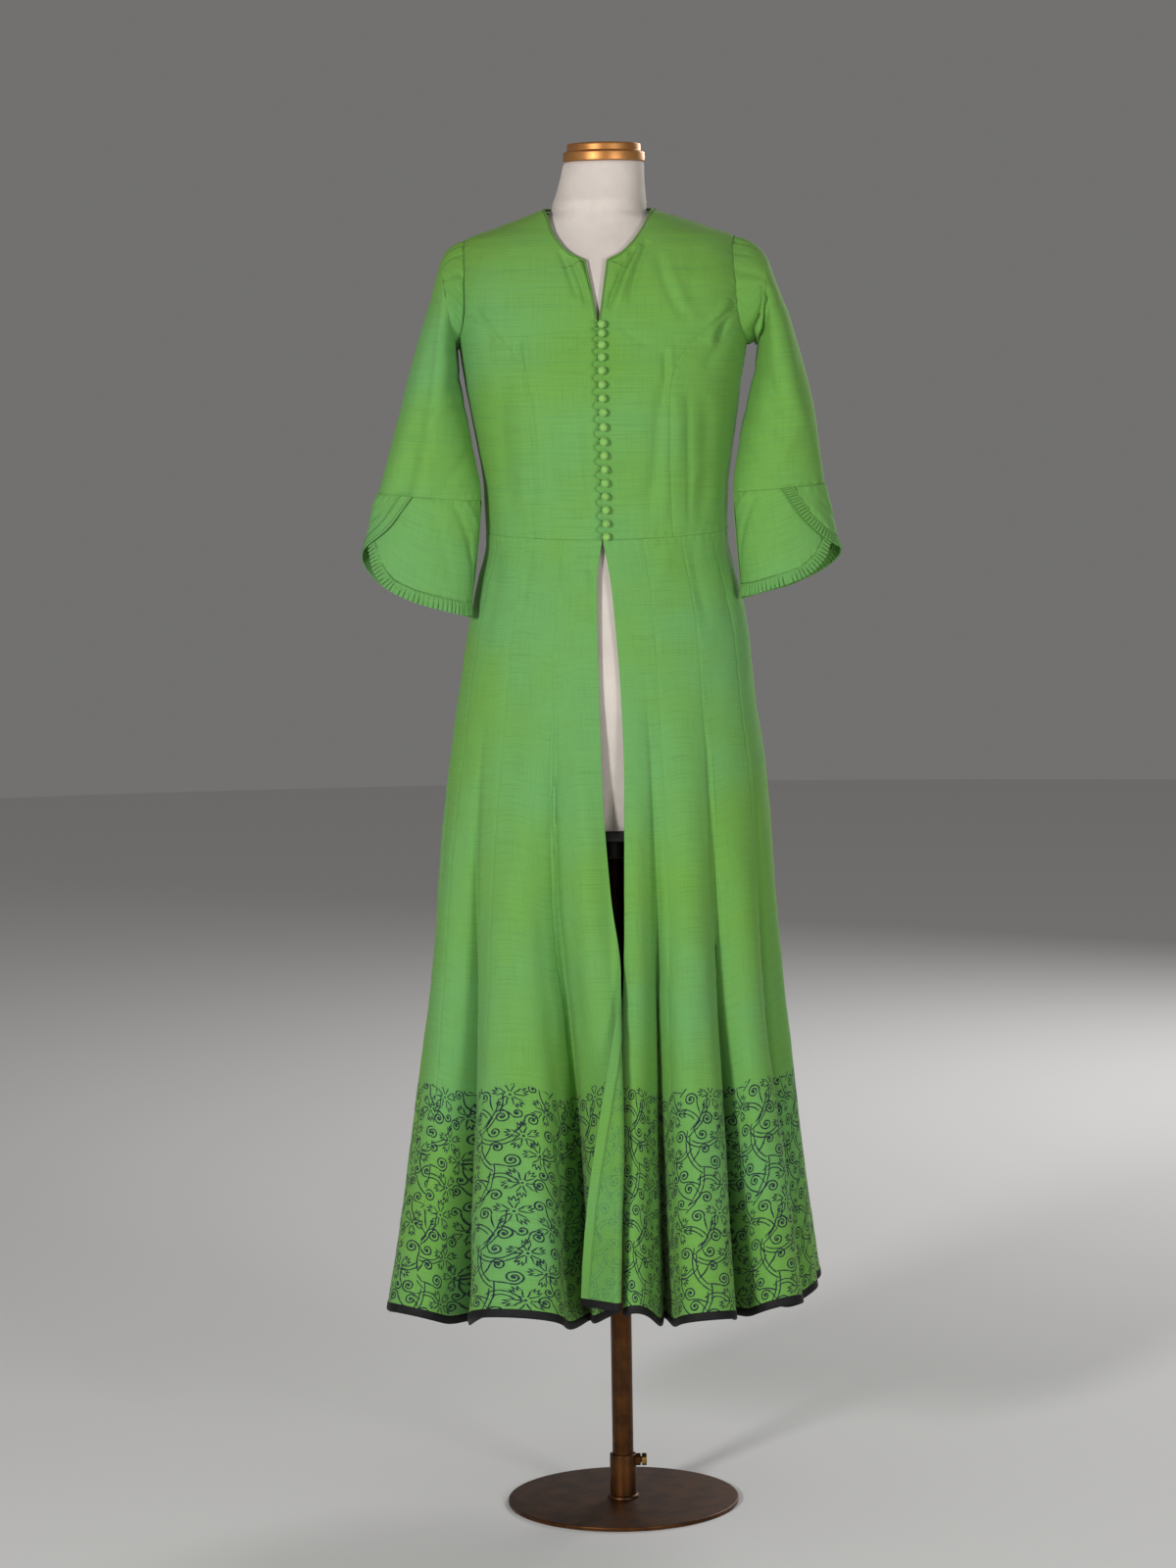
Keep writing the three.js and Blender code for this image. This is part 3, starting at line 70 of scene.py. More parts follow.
# Level sections of the garment: middle, half widths, depths, and squareness of each ring
sections = tableOf(
    "z mid left right front back square",
    (200, 2, 262, 214, 119, 188, 2.2), (471, 0, 229, 202, 120, 168, 2.2),
    (634, -1, 213, 191, 120, 156, 2.2), (782, -2, 201, 187, 119, 143, 2.2),
    (889, -3, 188, 181, 116, 132, 2.2), (948, -3, 180, 173, 113, 126, 2.2),
    (1047, -3, 164, 163.5, 106, 112, 2.2), (1097, -3, 153, 153, 99, 101, 2.2),
    (1150, -3, 140.5, 140.5, 92, 89, 2.2), (1210, -3, 142, 142, 102, 92, 2.2),
    (1250, -3, 147, 147, 115, 97, 2.25), (1290, -3, 154, 153, 124, 101, 2.3),
    (1330, -4, 160, 159, 121, 105, 2.4), (1370, -4, 166, 166, 112, 107, 2.5),
    (1410, -4, 170, 170, 104, 106, 2.5), (1440, -5, 170, 170, 96, 103, 2.5),
    (1465, -6, 168, 168, 87, 97, 2.3), (1485, -7, 163, 163, 78, 88, 2.1),
    (1497, -7, 156, 157, 71, 80, 1.9), (1512, -7, 116, 121, 63, 70, 1.75),
    (1520, -7, 93, 98, 60, 66, 1.75), (1531, -7, 62, 62, 59, 62, 1.95),
)


def smoothCurve(rows, key, column, loose=False):
    # a smooth curve through one column of a table, without overshoot unless it is loose
    at = np.array([row[key] for row in rows], float)
    value = np.array([row[column] for row in rows], float)
    slope = np.diff(value) / np.diff(at)
    tangent = np.zeros(len(at))
    tangent[0], tangent[-1] = slope[0], slope[-1]
    same = slope[:-1] * slope[1:] > 0
    total = np.where(same, slope[:-1] + slope[1:], 1)
    tangent[1:-1] = np.where(same, 2 * slope[:-1] * slope[1:] / total, 0)
    if loose:
        tangent[1:-1] = (value[2:] - value[:-2]) / (at[2:] - at[:-2])

    def valueAt(x):
        x = np.clip(np.asarray(x, float), at[0], at[-1])
        i = np.clip(np.searchsorted(at, x, side="right") - 1, 0, len(at) - 2)
        span = at[i + 1] - at[i]
        t = (x - at[i]) / span
        rest = 1 - t
        ends = (1 + 2 * t) * rest * rest * value[i] + t * t * (3 - 2 * t) * value[i + 1]
        return ends + t * rest * span * (rest * tangent[i] - t * tangent[i + 1])
    return valueAt


def ringOf(rows):
    curves = {column: smoothCurve(rows, "z", column) for column in rows[0] if column != "z"}
    return lambda z: {column: curve(z) for column, curve in curves.items()}


garmentRing = ringOf(sections)
turnCos = math.cos(math.radians(garment["formTurn"]))
turnSin = math.sin(math.radians(garment["formTurn"]))


def onRing(ring, angle):
    # angle 0 is the front, and a quarter turn is the viewer's right
    s, c = np.sin(angle), np.cos(angle)
    reach = (np.abs(s) ** ring["square"] + np.abs(c) ** ring["square"]) ** (-1 / ring["square"])
    return np.where(s > 0, ring["right"], ring["left"]) * reach * s, \
        np.where(c > 0, ring["front"], ring["back"]) * reach * c


def placed(ring, side, depth, z):
    x = ring["mid"] + side * turnCos + depth * turnSin
    y = side * turnSin - depth * turnCos
    return np.stack(np.broadcast_arrays(x, y, z), -1)


def bodyAt(angle, z):
    ring = garmentRing(z)
    return placed(ring, *onRing(ring, angle), z)


def angleAt(side, z):
    # the angle at which the ring has a given sideways distance from the opening
    low, high = 0.0, math.pi / 2
    ring = garmentRing(z)
    for _ in range(40):
        middle = (low + high) / 2
        if onRing(ring, middle)[0] < side:
            low = middle
        else:
            high = middle
    return low


def waistAt(angle):
    return garment["waistZ"] + garment["waistSideLift"] * np.sin(angle) ** 2


# Grids of points, and what is done to them

def unit(vectors):
    return vectors / np.maximum(np.linalg.norm(vectors, axis=-1, keepdims=True), 1e-9)


def gridNormals(grid, wrapped=False):
    if wrapped:
        across = np.roll(grid, -1, 0) - np.roll(grid, 1, 0)
    else:
        across = np.gradient(grid, axis=0)
    return unit(np.cross(across, np.gradient(grid, axis=1)))


def edgeDistances(grid):
    across = np.linalg.norm(np.diff(grid, axis=0), axis=2)
    up = np.linalg.norm(np.diff(grid, axis=1), axis=2)
    first = np.vstack([np.zeros((1, grid.shape[1])), np.cumsum(across, 0)])
    bottom = np.hstack([np.zeros((grid.shape[0], 1)), np.cumsum(up, 1)])
    return {"first": first, "last": first[-1:] - first, "bottom": bottom, "top": bottom[:, -1:] - bottom}


def spread(count, edge=0.012):
    # positions from 0 to 1, closer together at both ends where the seams are
    close = edge * np.array([0, 0.35, 0.75, 1.4])
    middle = np.linspace(2.4 * edge, 1 - 2.4 * edge, count)
    return np.concatenate([close, middle, 1 - close[::-1]])


seams = {"depth": 0.38, "reach": 1.4, "pucker": 0.4, "puckerReach": 7, "puckerPitch": 11}


def seamed(grid, edges, seed, wrapped=False):
    # sinks the cloth into its seams and puckers it a little beside them
    normals = gridNormals(grid, wrapped)
    far = edgeDistances(grid)
    rng = np.random.default_rng(seed)
    drop = np.zeros(grid.shape[:2])
    for edge in edges:
        beside = far["bottom"] if edge in ("first", "last") else far["first"]
        phase, stretch = rng.uniform(0, 6.28), rng.uniform(0.8, 1.25)
        wave = np.sin(beside * 2 * math.pi / (seams["puckerPitch"] * stretch) + phase)
        wave += 0.6 * np.sin(beside * 2 * math.pi / (seams["puckerPitch"] * 2.3) + 2 * phase)
        drop -= seams["depth"] * np.exp(-(far[edge] / seams["reach"]) ** 2)
        near = np.exp(-(far[edge] / seams["puckerReach"]) ** 2) * (1 - np.exp(-(far[edge] / 1.5) ** 2))
        drop += seams["pucker"] * wave * near
    return grid + normals * drop[..., None]


def softHeight(points, size, height, seed):
    # long soft unevenness, as cloth has where nothing pulls it; it depends on the place alone
    rng = np.random.default_rng(seed)
    total = np.zeros(points.shape[:-1])
    for _ in range(6):
        direction = unit(rng.normal(size=3)) * 2 * math.pi / (size * rng.uniform(0.7, 1.6))
        total += np.sin(points @ direction + rng.uniform(0, 6.28))
    return height * total / 3


def softened(grid, size, height, seed, wrapped=False):
    return grid + gridNormals(grid, wrapped) * softHeight(grid, size, height, seed)[..., None]


def creaseShape(t, side, length, wide):
    # 1 along the middle of a crease, fading at its sides and past its ends
    inside = np.clip(t, 0, 1)
    taper = np.sqrt(np.clip(1.02 - (2 * inside - 1) ** 4, 0, 1))
    return taper * np.exp(-(np.hypot(side, (t - inside) * length) / wide) ** 2)


def creased(grid, table, wrapped=False):
    # troughs and ridges along lines of the front view: where each starts and ends, its half width,
    # its height (below 0 is a trough) and how far it bows
    if not table:
        return grid
    x, z = grid[..., 0], grid[..., 2]
    total = np.zeros(grid.shape[:2])
    for row in table:
        start = np.array([row["fromX"], row["fromZ"]], float)
        along = np.array([row["toX"], row["toZ"]], float) - start
        length = np.hypot(*along)
        along /= length
        offX, offZ = x - start[0], z - start[1]
        t = (offX * along[0] + offZ * along[1]) / length
        side = offX * -along[1] + offZ * along[0]
        side -= row["bow"] * 4 * t * (1 - t)
        total += row["height"] * creaseShape(t, side, length, row["wide"])
    return grid + gridNormals(grid, wrapped) * total[..., None]


def clothSize(grid, wrapped=False):
    # the cut size of a piece: its longest row, its longest column and its area
    ring = np.concatenate([grid, grid[:1]]) if wrapped else grid
    across = np.linalg.norm(np.diff(ring, axis=0), axis=2)
    up = np.linalg.norm(np.diff(ring, axis=1), axis=2)
    cell = (across[:, :-1] + across[:, 1:]) / 2 * (up[:-1] + up[1:]) / 2
    return across.sum(0).max() * mm, up.sum(1).max() * mm, cell.sum() * mm * mm


# Meshes

def newPiece(name, points, faces, materials, body, uv=None, flatFaces=None, slots=None):
    mesh = bpy.data.meshes.new(name)
    mesh.from_pydata((np.asarray(points, float) * mm).tolist(), [], [list(map(int, face)) for face in faces])
    smooth = np.ones(len(mesh.polygons), bool)
    if flatFaces is not None:
        smooth[flatFaces] = False
    mesh.polygons.foreach_set("use_smooth", smooth)
    if slots is not None:
        mesh.polygons.foreach_set("material_index", np.asarray(slots, np.int32))
    if uv is not None:
        layer = mesh.uv_layers.new(name="cloth")
        layer.data.foreach_set("uv", np.asarray(uv, np.float32).ravel())
    for material in materials:
        mesh.materials.append(material)
    mesh.update()
    piece = bpy.data.objects.new(name, mesh)
    bpy.context.scene.collection.objects.link(piece)
    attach(piece, body)
    return piece


def gridFaces(index):
    return np.stack([index[:-1, :-1], index[1:, :-1], index[1:, 1:], index[:-1, 1:]], -1).reshape(-1, 4)


def ringFaces(count, sides, looped=False):
    index = np.arange(count * sides).reshape(count, sides)
    index = np.hstack([index, index[:, :1]])
    if looped:
        index = np.vstack([index, index[:1]])
    faces = np.stack([index[:-1, :-1], index[:-1, 1:], index[1:, 1:], index[1:, :-1]], -1)
    return index, faces.reshape(-1, 4).tolist()


def shell(name, grid, uv, materials, thick=garment["clothThick"], wrapped=False):
    # a closed sheet of cloth: right side, wrong side and the cut edges between them
    columns, rows = grid.shape[:2]
    half = gridNormals(grid, wrapped) * (np.broadcast_to(thick, grid.shape[:2]) / 2)[..., None]
    points = np.concatenate([(grid + half).reshape(-1, 3), (grid - half).reshape(-1, 3)])
    index = np.arange(columns * rows).reshape(columns, rows)
    if wrapped:
        index = np.vstack([index, index[:1]])
    back = index + columns * rows
    number = np.arange(index.size).reshape(index.shape)
    rim = lambda a, b, c, d: np.stack([a, b, c, d], -1).reshape(-1, 4)
    parts = [(gridFaces(index), gridFaces(number)), (gridFaces(back)[:, ::-1], gridFaces(number)[:, ::-1])]
    strips = [(0, back, index), (-1, index, back)]
    for row, lower, upper in strips:
        parts.append((
            rim(lower[:-1, row], lower[1:, row], upper[1:, row], upper[:-1, row]),
            rim(number[:-1, row], number[1:, row], number[1:, row], number[:-1, row]),
        ))
    if not wrapped:
        for column, lower, upper in [(0, index, back), (-1, back, index)]:
            parts.append((
                rim(lower[column, :-1], lower[column, 1:], upper[column, 1:], upper[column, :-1]),
                rim(number[column, :-1], number[column, 1:], number[column, 1:], number[column, :-1]),
            ))
    faces = np.concatenate([part[0] for part in parts])
    corners = np.concatenate([part[1] for part in parts])
    sides = len(parts[0][0])
    slots = np.zeros(len(faces), int)
    slots[sides:2 * sides] = len(materials) - 1
    return newPiece(name, points, faces, materials, "form", uv.reshape(-1, 2)[corners.ravel()],
                    np.arange(2 * sides, len(faces)), slots)


def clothUv(grid, wrapped=False, vertical="bottom"):
    # distances over the cloth in millimetres, measured from the middle column and the first row
    ring = np.concatenate([grid, grid[:1]]) if wrapped else grid
    far = edgeDistances(ring)
    middle = far["first"][len(ring) // 2]
    return np.stack([far["first"] - middle, far[vertical]], -1)


def tube(name, path, radius, material, sides, up):
    # a round cord along a path, closed at both ends
    path = np.asarray(path, float)
    ahead = unit(np.gradient(path, axis=0))
    across = unit(np.cross(up, ahead))
    lift = np.cross(ahead, across)
    turn = np.linspace(0, 2 * math.pi, sides, endpoint=False)
    ringShape = np.cos(turn)[None, :, None] * across[:, None] + np.sin(turn)[None, :, None] * lift[:, None]
    size = np.broadcast_to(radius, len(path))[:, None, None]
    points = (path[:, None] + ringShape * size).reshape(-1, 3)
    count = len(path)
    faces = ringFaces(count, sides)[1]
    faces.append(list(range(sides))[::-1])
    faces.append([(count - 1) * sides + k for k in range(sides)])
    length = np.concatenate([[0], np.cumsum(np.linalg.norm(np.diff(path, axis=0), axis=1))])
    corners = [[k * 1.2, length[i]] for i in range(count) for k in range(sides)]
    uv = [corners[corner] for face in faces for corner in face]
    return newPiece(name, points, faces, [material], "form", uv)


def roundedProfile(corners):
    # each corner is a radius, a height and how far its edge is rounded
    made = []
    for i, (r, z, edge) in enumerate(corners):
        if edge == 0:
            made.append((r, z))
            continue
        here = np.array([r, z], float)
        before = unit(np.array(corners[i - 1][:2], float) - here)
        after = unit(np.array(corners[i + 1][:2], float) - here)
        for t in np.linspace(0, 1, 5):
            start, end = here + before * edge, here + after * edge
            made.append(tuple((1 - t) ** 2 * start + 2 * t * (1 - t) * here + t * t * end))
    return made


# Shader maths

def mathsMethod(operation, turned=False):
    def method(self, other):
        pair = (other, self) if turned else (self, other)
        return self.maths(operation, *pair)
    return method


class Wire:
    # one socket of a node tree, which can be used in sums like a number
    def __init__(self, tree, socket=None):
        self.tree = tree
        self.socket = socket

    def make(self, kind, settings=None, values=None, out=0):
        node = self.tree.nodes.new(kind)
        for key, value in (settings or {}).items():
            setattr(node, key, value)
        for key, value in (values or {}).items():
            if isinstance(value, Wire):
                self.tree.links.new(value.socket, node.inputs[key])
            else:
                node.inputs[key].default_value = value
        return Wire(self.tree, node.outputs[out] if len(node.outputs) else None)

    def axes(self):
        split = self.make("ShaderNodeSeparateXYZ", {}, {0: self})
        return [Wire(self.tree, socket) for socket in split.socket.node.outputs]

    def maths(self, operation, *values):
        return self.make("ShaderNodeMath", {"operation": operation}, dict(enumerate(values)))

    def single(self, operation):
        return self.maths(operation, self)

    def __abs__(self):
        return self.single("ABSOLUTE")

    __add__, __radd__ = mathsMethod("ADD"), mathsMethod("ADD", True)
    __sub__, __rsub__ = mathsMethod("SUBTRACT"), mathsMethod("SUBTRACT", True)
    __mul__, __truediv__ = mathsMethod("MULTIPLY"), mathsMethod("DIVIDE")
    __lt__, __gt__ = mathsMethod("LESS_THAN"), mathsMethod("GREATER_THAN")
    larger, angleWith = mathsMethod("MAXIMUM"), mathsMethod("ARCTAN2", True)

    def wrapped(self, size):
        return self.maths("WRAP", self, size / 2, -size / 2)

    def lengthWith(self, other):
        return (self * self + other * other).single("SQRT")

    def smooth(self, low, high):
        return self.make("ShaderNodeMapRange", {"interpolation_type": "SMOOTHSTEP"},
                         {"Value": self, "From Min": low, "From Max": high})


def srgb(r, g, b):
    # a colour as seen on a screen, from 0 to 255, made linear
    return tuple(((c / 255 + 0.055) / 1.055) ** 2.4 if c > 10 else c / 255 / 12.92 for c in (r, g, b)) + (1,)


def bumped(start, height, strength):
    # a fine relief whose height is in millimetres
    return start.make("ShaderNodeBump", {}, {"Strength": strength, "Distance": mm, "Height": height})


def mixed(amount, first, second):
    values = {"Factor": amount, 6: first, 7: second}
    return amount.make("ShaderNodeMix", {"data_type": "RGBA"}, values, 2)


def noise(start, vector, scale=1.0, detail=2.0, rough=0.5):
    values = {"Vector": vector, "Scale": scale, "Detail": detail, "Roughness": rough}
    return start.make("ShaderNodeTexNoise", {}, values)


def stretchedNoise(start, u, v, alongU, alongV, detail=2.0):
    vector = start.make("ShaderNodeCombineXYZ", {}, {0: u / alongU, 1: v / alongV})
    return noise(start, vector, 1.0, detail)


def newMaterial(name, shader):
    material = bpy.data.materials.new(name)
    material.use_nodes = True
    tree = material.node_tree
    tree.nodes.clear()
    start = Wire(tree)
    surface = start.make("ShaderNodeBsdfPrincipled", {}, shader(start))
    start.make("ShaderNodeOutputMaterial", {}, {"Surface": surface})
    return material


# The block print, in millimetres of cloth: one block is repeated across and up the skirt.
# Stems are double lines that bow by some millimetres between two places.
block = {"across": 80, "up": 137, "rows": 2, "line": 0.84, "gap": 2.2, "pitch": 3.7, "wobble": 2.4,
         "uneven": 0.75, "ragged": 14}
stems = tableOf(
    "from to bow",
    ((22, -6), (42, 38), -6), ((42, 38), (30, 82), 7), ((30, 82), (52, 122), -6), ((39, 26), (62, 20), 6),
    ((29, 64), (5, 55), 5), ((30, 74), (64, 78), -9), ((41, 96), (13, 108), -6),
)
tendrils = tableOf(
    "at radius hand root",
    ((59, 47), 8.4, 1, (41, 42)), ((21, 34), 7.6, -1, (39, 21)), ((18, 80), 7.6, 1, (30, 69)),
    ((52, 98), 8.2, -1, (35, 86)), ((34, 122), 7.6, 1, (44, 106)), ((3, 20), 7.4, 1, (30, 4)),
    ((47, 62), 6.4, -1, (32, 50)), ((45, 6), 7.0, -1, (26, 0)), ((79, 96), 7.2, -1, (62, 80)),
    ((2, 132), 6.6, 1, (18, 112)), ((26, 18), 6.6, 1, (37, 12)), ((45, 80), 6.4, 1, (37, 88)),
    ((15, 2), 6.2, -1, (22, -6)), ((66, 102), 5.6, 1, (50, 107)), ((7, 33), 5.8, -1, (10, 54)),
)
flowers = tableOf(
    "at radius petals turn",
    ((60, 124), 17, 5, 0.3), ((67, 21), 17, 5, 0.9), ((5, 55), 16.5, 5, 1.9), ((70, 76), 16, 5, 0.4),
    ((13, 108), 15.5, 5, 1.1),
)


def arcInk(u, v, first, last, bow, halfLine, gap):
    # the part of a circle between two places; a gap makes it a double line
    first, last = np.array(first, float), np.array(last, float)
    chord = last - first
    half = np.hypot(*chord) / 2
    bow = bow if abs(bow) > 0.3 else 0.3
    radius = (half * half + bow * bow) / (2 * abs(bow))
    side = np.array([-chord[1], chord[0]]) / (2 * half) * np.sign(bow)
    centre = (first + last) / 2 + side * (abs(bow) - radius)
    middle = (first + last) / 2
    x = (u - middle[0]).wrapped(block["across"]) + (middle[0] - centre[0])
    y = (v - middle[1]).wrapped(block["up"]) + (middle[1] - centre[1])
    r = x.lengthWith(y)
    off = abs(r - radius)
    if gap:
        off = abs(off - gap)
    inside = (x * side[0] + y * side[1]) > (radius - abs(bow))
    return (off < halfLine) * inside


def spiralInk(x, y, radius, hand, exit, halfLine):
    # turns inwards from its outer end, which leaves at the exit angle
    r = x.lengthWith(y)
    turn = x.angleWith(y)
    pitch = block["pitch"]
    share = ((turn - exit) * (hand / (2 * math.pi))).single("FRACT")
    q = (r - radius) / pitch + share
    off = abs(q - q.single("ROUND")) * pitch
    line = (off < halfLine) * (q < 0.5) * (r > 1.2)
    return line.larger(r < 1.5)


def flowerInk(x, y, row, halfLine):
    # petals that widen outwards and end in a saw edge of five points
    r = x.lengthWith(y)
    turn = (x.angleWith(y) - row["turn"]) * (row["petals"] / (2 * math.pi))
    t = abs(turn.wrapped(1))
    radius = row["radius"]
    notch = abs((t / 0.185).wrapped(1)) * 2
    tip = radius - notch * (radius * 0.26) - t * t * (radius * 1.9)
    width = 0.1 + r * (0.29 / radius)
    across = r * (2 * math.pi / row["petals"])
    side = (abs(t - width) * across < halfLine * 0.85) * (r < tip) * (r > radius * 0.22)
    top = (abs(r - tip) < halfLine * 1.9) * (t < width)
    return side.larger(top).larger(r < 1.4)


def printInk(start, u, v, objectPoint):
    # 1 where the block has left ink: uneven, and with a ragged upper limit
    shift = (noise(start, objectPoint, 75, 2) - 0.5) * block["wobble"]
    u, v = u + shift, v - shift
    half = block["line"] + (noise(start, objectPoint, 160, 2) - 0.5) * block["uneven"]
    stemHalf = half * 0.85
    parts = [arcInk(u, v, row["from"], row["to"], row["bow"], stemHalf, block["gap"]) for row in stems]
    for row in tendrils:
        at, root = np.array(row["at"], float), np.array(row["root"], float)
        away = root - at
        leave = math.atan2(away[1], away[0]) + row["hand"] * 0.9
        touch = at + row["radius"] * np.array([math.cos(leave), math.sin(leave)])
        chord = root - touch
        tangent = row["hand"] * np.array([math.sin(leave), -math.cos(leave)])
        cross = (tangent[0] * chord[1] - tangent[1] * chord[0]) / np.hypot(*chord)
        bow = np.hypot(*chord) / 2 * math.tan(math.asin(np.clip(cross, -0.95, 0.95)) / 2)
        parts.append(arcInk(u, v, touch, root, -bow if cross else 0.3, half, 0))
        x = (u - at[0]).wrapped(block["across"])
        y = (v - at[1]).wrapped(block["up"])
        parts.append(spiralInk(x, y, row["radius"], row["hand"], leave, half))
    for row in flowers:
        x = (u - row["at"][0]).wrapped(block["across"])
        y = (v - row["at"][1]).wrapped(block["up"])
        parts.append(flowerInk(x, y, row, half))
    ink = parts[0]
    for part in parts[1:]:
        ink = ink.larger(part)
    top = block["up"] * block["rows"] - 8 + noise(start, objectPoint, 30, 1) * block["ragged"]
    return ink * (v < top)


# Materials

greens = {
    "leaf": srgb(107, 161, 70), "yellow": srgb(112, 156, 52), "blue": srgb(104, 164, 100),
    "teal": srgb(74, 146, 92), "deep": srgb(52, 100, 38), "ink": srgb(14, 20, 50), "seam": srgb(30, 66, 22),
}


dyeAndSheen = {
    "patches": 5.5, "flecks": 26, "weft": (60, 1.1), "warp": (1.0, 48), "bands": (900, 7), "roughness": 0.86,
    "threadAcross": 1.05, "threadUp": 0.95, "weave": 0.035, "bump": 0.55,
    # the two shoulder heights below bound a painted sheen: the cloth turns yellow towards the shoulder tops
    "shoulderFoot": 1.38, "shoulderTop": 1.52,
}


def clothShader(printed=False, wrongSide=False, dark=0.0, banded=0.0):
    def shader(start):
        uv = start.make("ShaderNodeUVMap", {"uv_map": "cloth"})
        u, v, _ = uv.axes()
        point = start.make("ShaderNodeTexCoord", {}, {}, 3)
        large = noise(start, point, dyeAndSheen["patches"])
        small = noise(start, point, dyeAndSheen["flecks"])
        weft = stretchedNoise(start, u, v, *dyeAndSheen["weft"])
        warp = stretchedNoise(start, u, v, *dyeAndSheen["warp"])
        # painted sheen: yellow where light falls on the shoulder tops, mixed in by height
        shoulder = point.axes()[2].smooth(dyeAndSheen["shoulderFoot"], dyeAndSheen["shoulderTop"])
        color = mixed(large.smooth(0.36, 0.7) * 0.7, greens["leaf"], greens["blue"])
        color = mixed(shoulder * 0.55, color, greens["yellow"])
        color = mixed(small.smooth(0.5, 0.75) * 0.14, color, greens["yellow"])
        bands = stretchedNoise(start, u, v, *dyeAndSheen["bands"])
        color = mixed(bands.smooth(0.52, 0.66) * banded, color, greens["teal"])
        color = mixed(bands.smooth(0.48, 0.36) * (banded * 0.6), color, greens["yellow"])
        slub = weft.smooth(0.46, 0.78) * 0.24 + warp.smooth(0.48, 0.8) * 0.2
        color = mixed(slub, color, greens["deep"])
        if dark:
            color = mixed(small * 0 + dark, color, greens["seam"])
        if printed:
            ink = printInk(start, u, v, point)
            worn = noise(start, point, 420).smooth(0.25, 0.6) * 0.22 + 0.76
            if wrongSide:
                speckle = noise(start, point, 520, 1).smooth(0.46, 0.58) * 0.5
                color = mixed(ink * (speckle + 0.1), color, srgb(40, 84, 90))
            else:
                color = mixed(ink * worn, color, greens["ink"])
        if wrongSide:
            color = mixed(small * 0.15 + 0.12, color, greens["deep"])
        weave = (u * (2 * math.pi / dyeAndSheen["threadAcross"])).single("SINE")
        weave = weave * (v * (2 * math.pi / dyeAndSheen["threadUp"])).single("SINE")
        relief = weave * dyeAndSheen["weave"] + weft * 0.16 + warp * 0.13 + noise(start, point, 95, 3) * 0.5
        return {
            "Base Color": color, "Roughness": dyeAndSheen["roughness"], "Normal": bumped(start, relief, dyeAndSheen["bump"]),
            "Sheen Weight": 0.18, "Sheen Roughness": 0.45, "Sheen Tint": srgb(205, 215, 170),
            "Specular IOR Level": 0.28,
        }
    return shader


def plainShader(color, second, scale, roughness, metallic=0.0, bump=0.0, bumpScale=300, extra=None):
    # a colour that varies with two sizes of noise, with its roughness, and a fine relief in millimetres
    def shader(start):
        point = start.make("ShaderNodeTexCoord", {}, {}, 3)
        patches = noise(start, point, scale, 4, 0.6)
        fine = noise(start, point, bumpScale, 3)
        values = {
            "Base Color": mixed(patches.smooth(0.35, 0.7), color, second),
            "Roughness": patches * 0.18 + (roughness - 0.09), "Metallic": metallic,
            "Normal": bumped(start, fine * bump, 0.6),
        }
        values.update(extra or {})
        return values
    return shader


def bindingShader(start):
    u, v, _ = start.make("ShaderNodeUVMap", {"uv_map": "cloth"}).axes()
    point = start.make("ShaderNodeTexCoord", {}, {}, 3)
    rib = stretchedNoise(start, u, v, 1.0, 8, 2)
    color = mixed(noise(start, point, 60, 3).smooth(0.3, 0.75), srgb(9, 8, 10), srgb(24, 22, 24))
    return {"Base Color": color, "Roughness": 0.56 + rib * 0.16, "Normal": bumped(start, rib * 0.22, 0.5),
            "Sheen Weight": 0.04, "Sheen Roughness": 0.4, "Specular IOR Level": 0.25}


def woodShader(start):
    point = start.make("ShaderNodeTexCoord", {}, {}, 3)
    x, y, z = point.axes()
    along = start.make("ShaderNodeCombineXYZ", {}, {0: x * 6, 1: y * 90, 2: z * 90})
    grain = noise(start, along, 1, 4, 0.6)
    color = mixed(grain.smooth(0.35, 0.7), srgb(22, 20, 17), srgb(40, 35, 28))
    return {"Base Color": color, "Roughness": grain * 0.2 + 0.25, "Normal": bumped(start, grain * 0.15, 0.4)}


gilt = {"Coat Weight": 0.12, "Coat Roughness": 0.4}
kurtiPrinted = newMaterial("printed_cloth", clothShader(printed=True))
kurtiPrintedBack = newMaterial("printed_cloth_wrong_side", clothShader(printed=True, wrongSide=True))
kurtiPlain = newMaterial("plain_cloth", clothShader(banded=0.11))
kurtiInside = newMaterial("plain_cloth_wrong_side", clothShader(wrongSide=True))
trimCloth = newMaterial("trim_cloth", clothShader(dark=0.06))
pipingCloth = newMaterial("piping_cloth", clothShader(dark=0.3))
cordCloth = newMaterial("cord_cloth", clothShader())
buttonCloth = newMaterial("button_cloth", plainShader(
    srgb(138, 192, 92), srgb(120, 176, 84), 160, 0.84, bump=0.35, bumpScale=900, extra={"Sheen Weight": 0.2}))
threadGreen = newMaterial("sewing_thread", plainShader(srgb(34, 66, 26), srgb(52, 92, 34), 90, 0.6, bump=0.1))
bindingCloth = newMaterial("binding_cloth", bindingShader)
formCloth = newMaterial("form_cover", plainShader(
    srgb(206, 195, 187), srgb(217, 207, 198), 18, 0.82, bump=0.3, bumpScale=900,
    extra={"Sheen Weight": 0.15}))
boardLacquer = newMaterial("board_lacquer", woodShader)
capGold = newMaterial("cap_gold_paint", plainShader(
    srgb(184, 122, 64), srgb(202, 144, 84), 30, 0.44, 0.8, bump=0.12, bumpScale=160, extra=gilt))
bronzePaint = newMaterial("bronze_paint", plainShader(
    srgb(92, 54, 16), srgb(58, 33, 9), 34, 0.44, 0.85, bump=0.25, bumpScale=220, extra=gilt))
boltBrass = newMaterial("bolt_brass", plainShader(
    srgb(196, 160, 90), srgb(160, 122, 62), 200, 0.3, 1.0, bump=0.1, bumpScale=600))
print("materials made")


# The bodice: every seam line is a list of angles and heights, drawn as one smooth curve

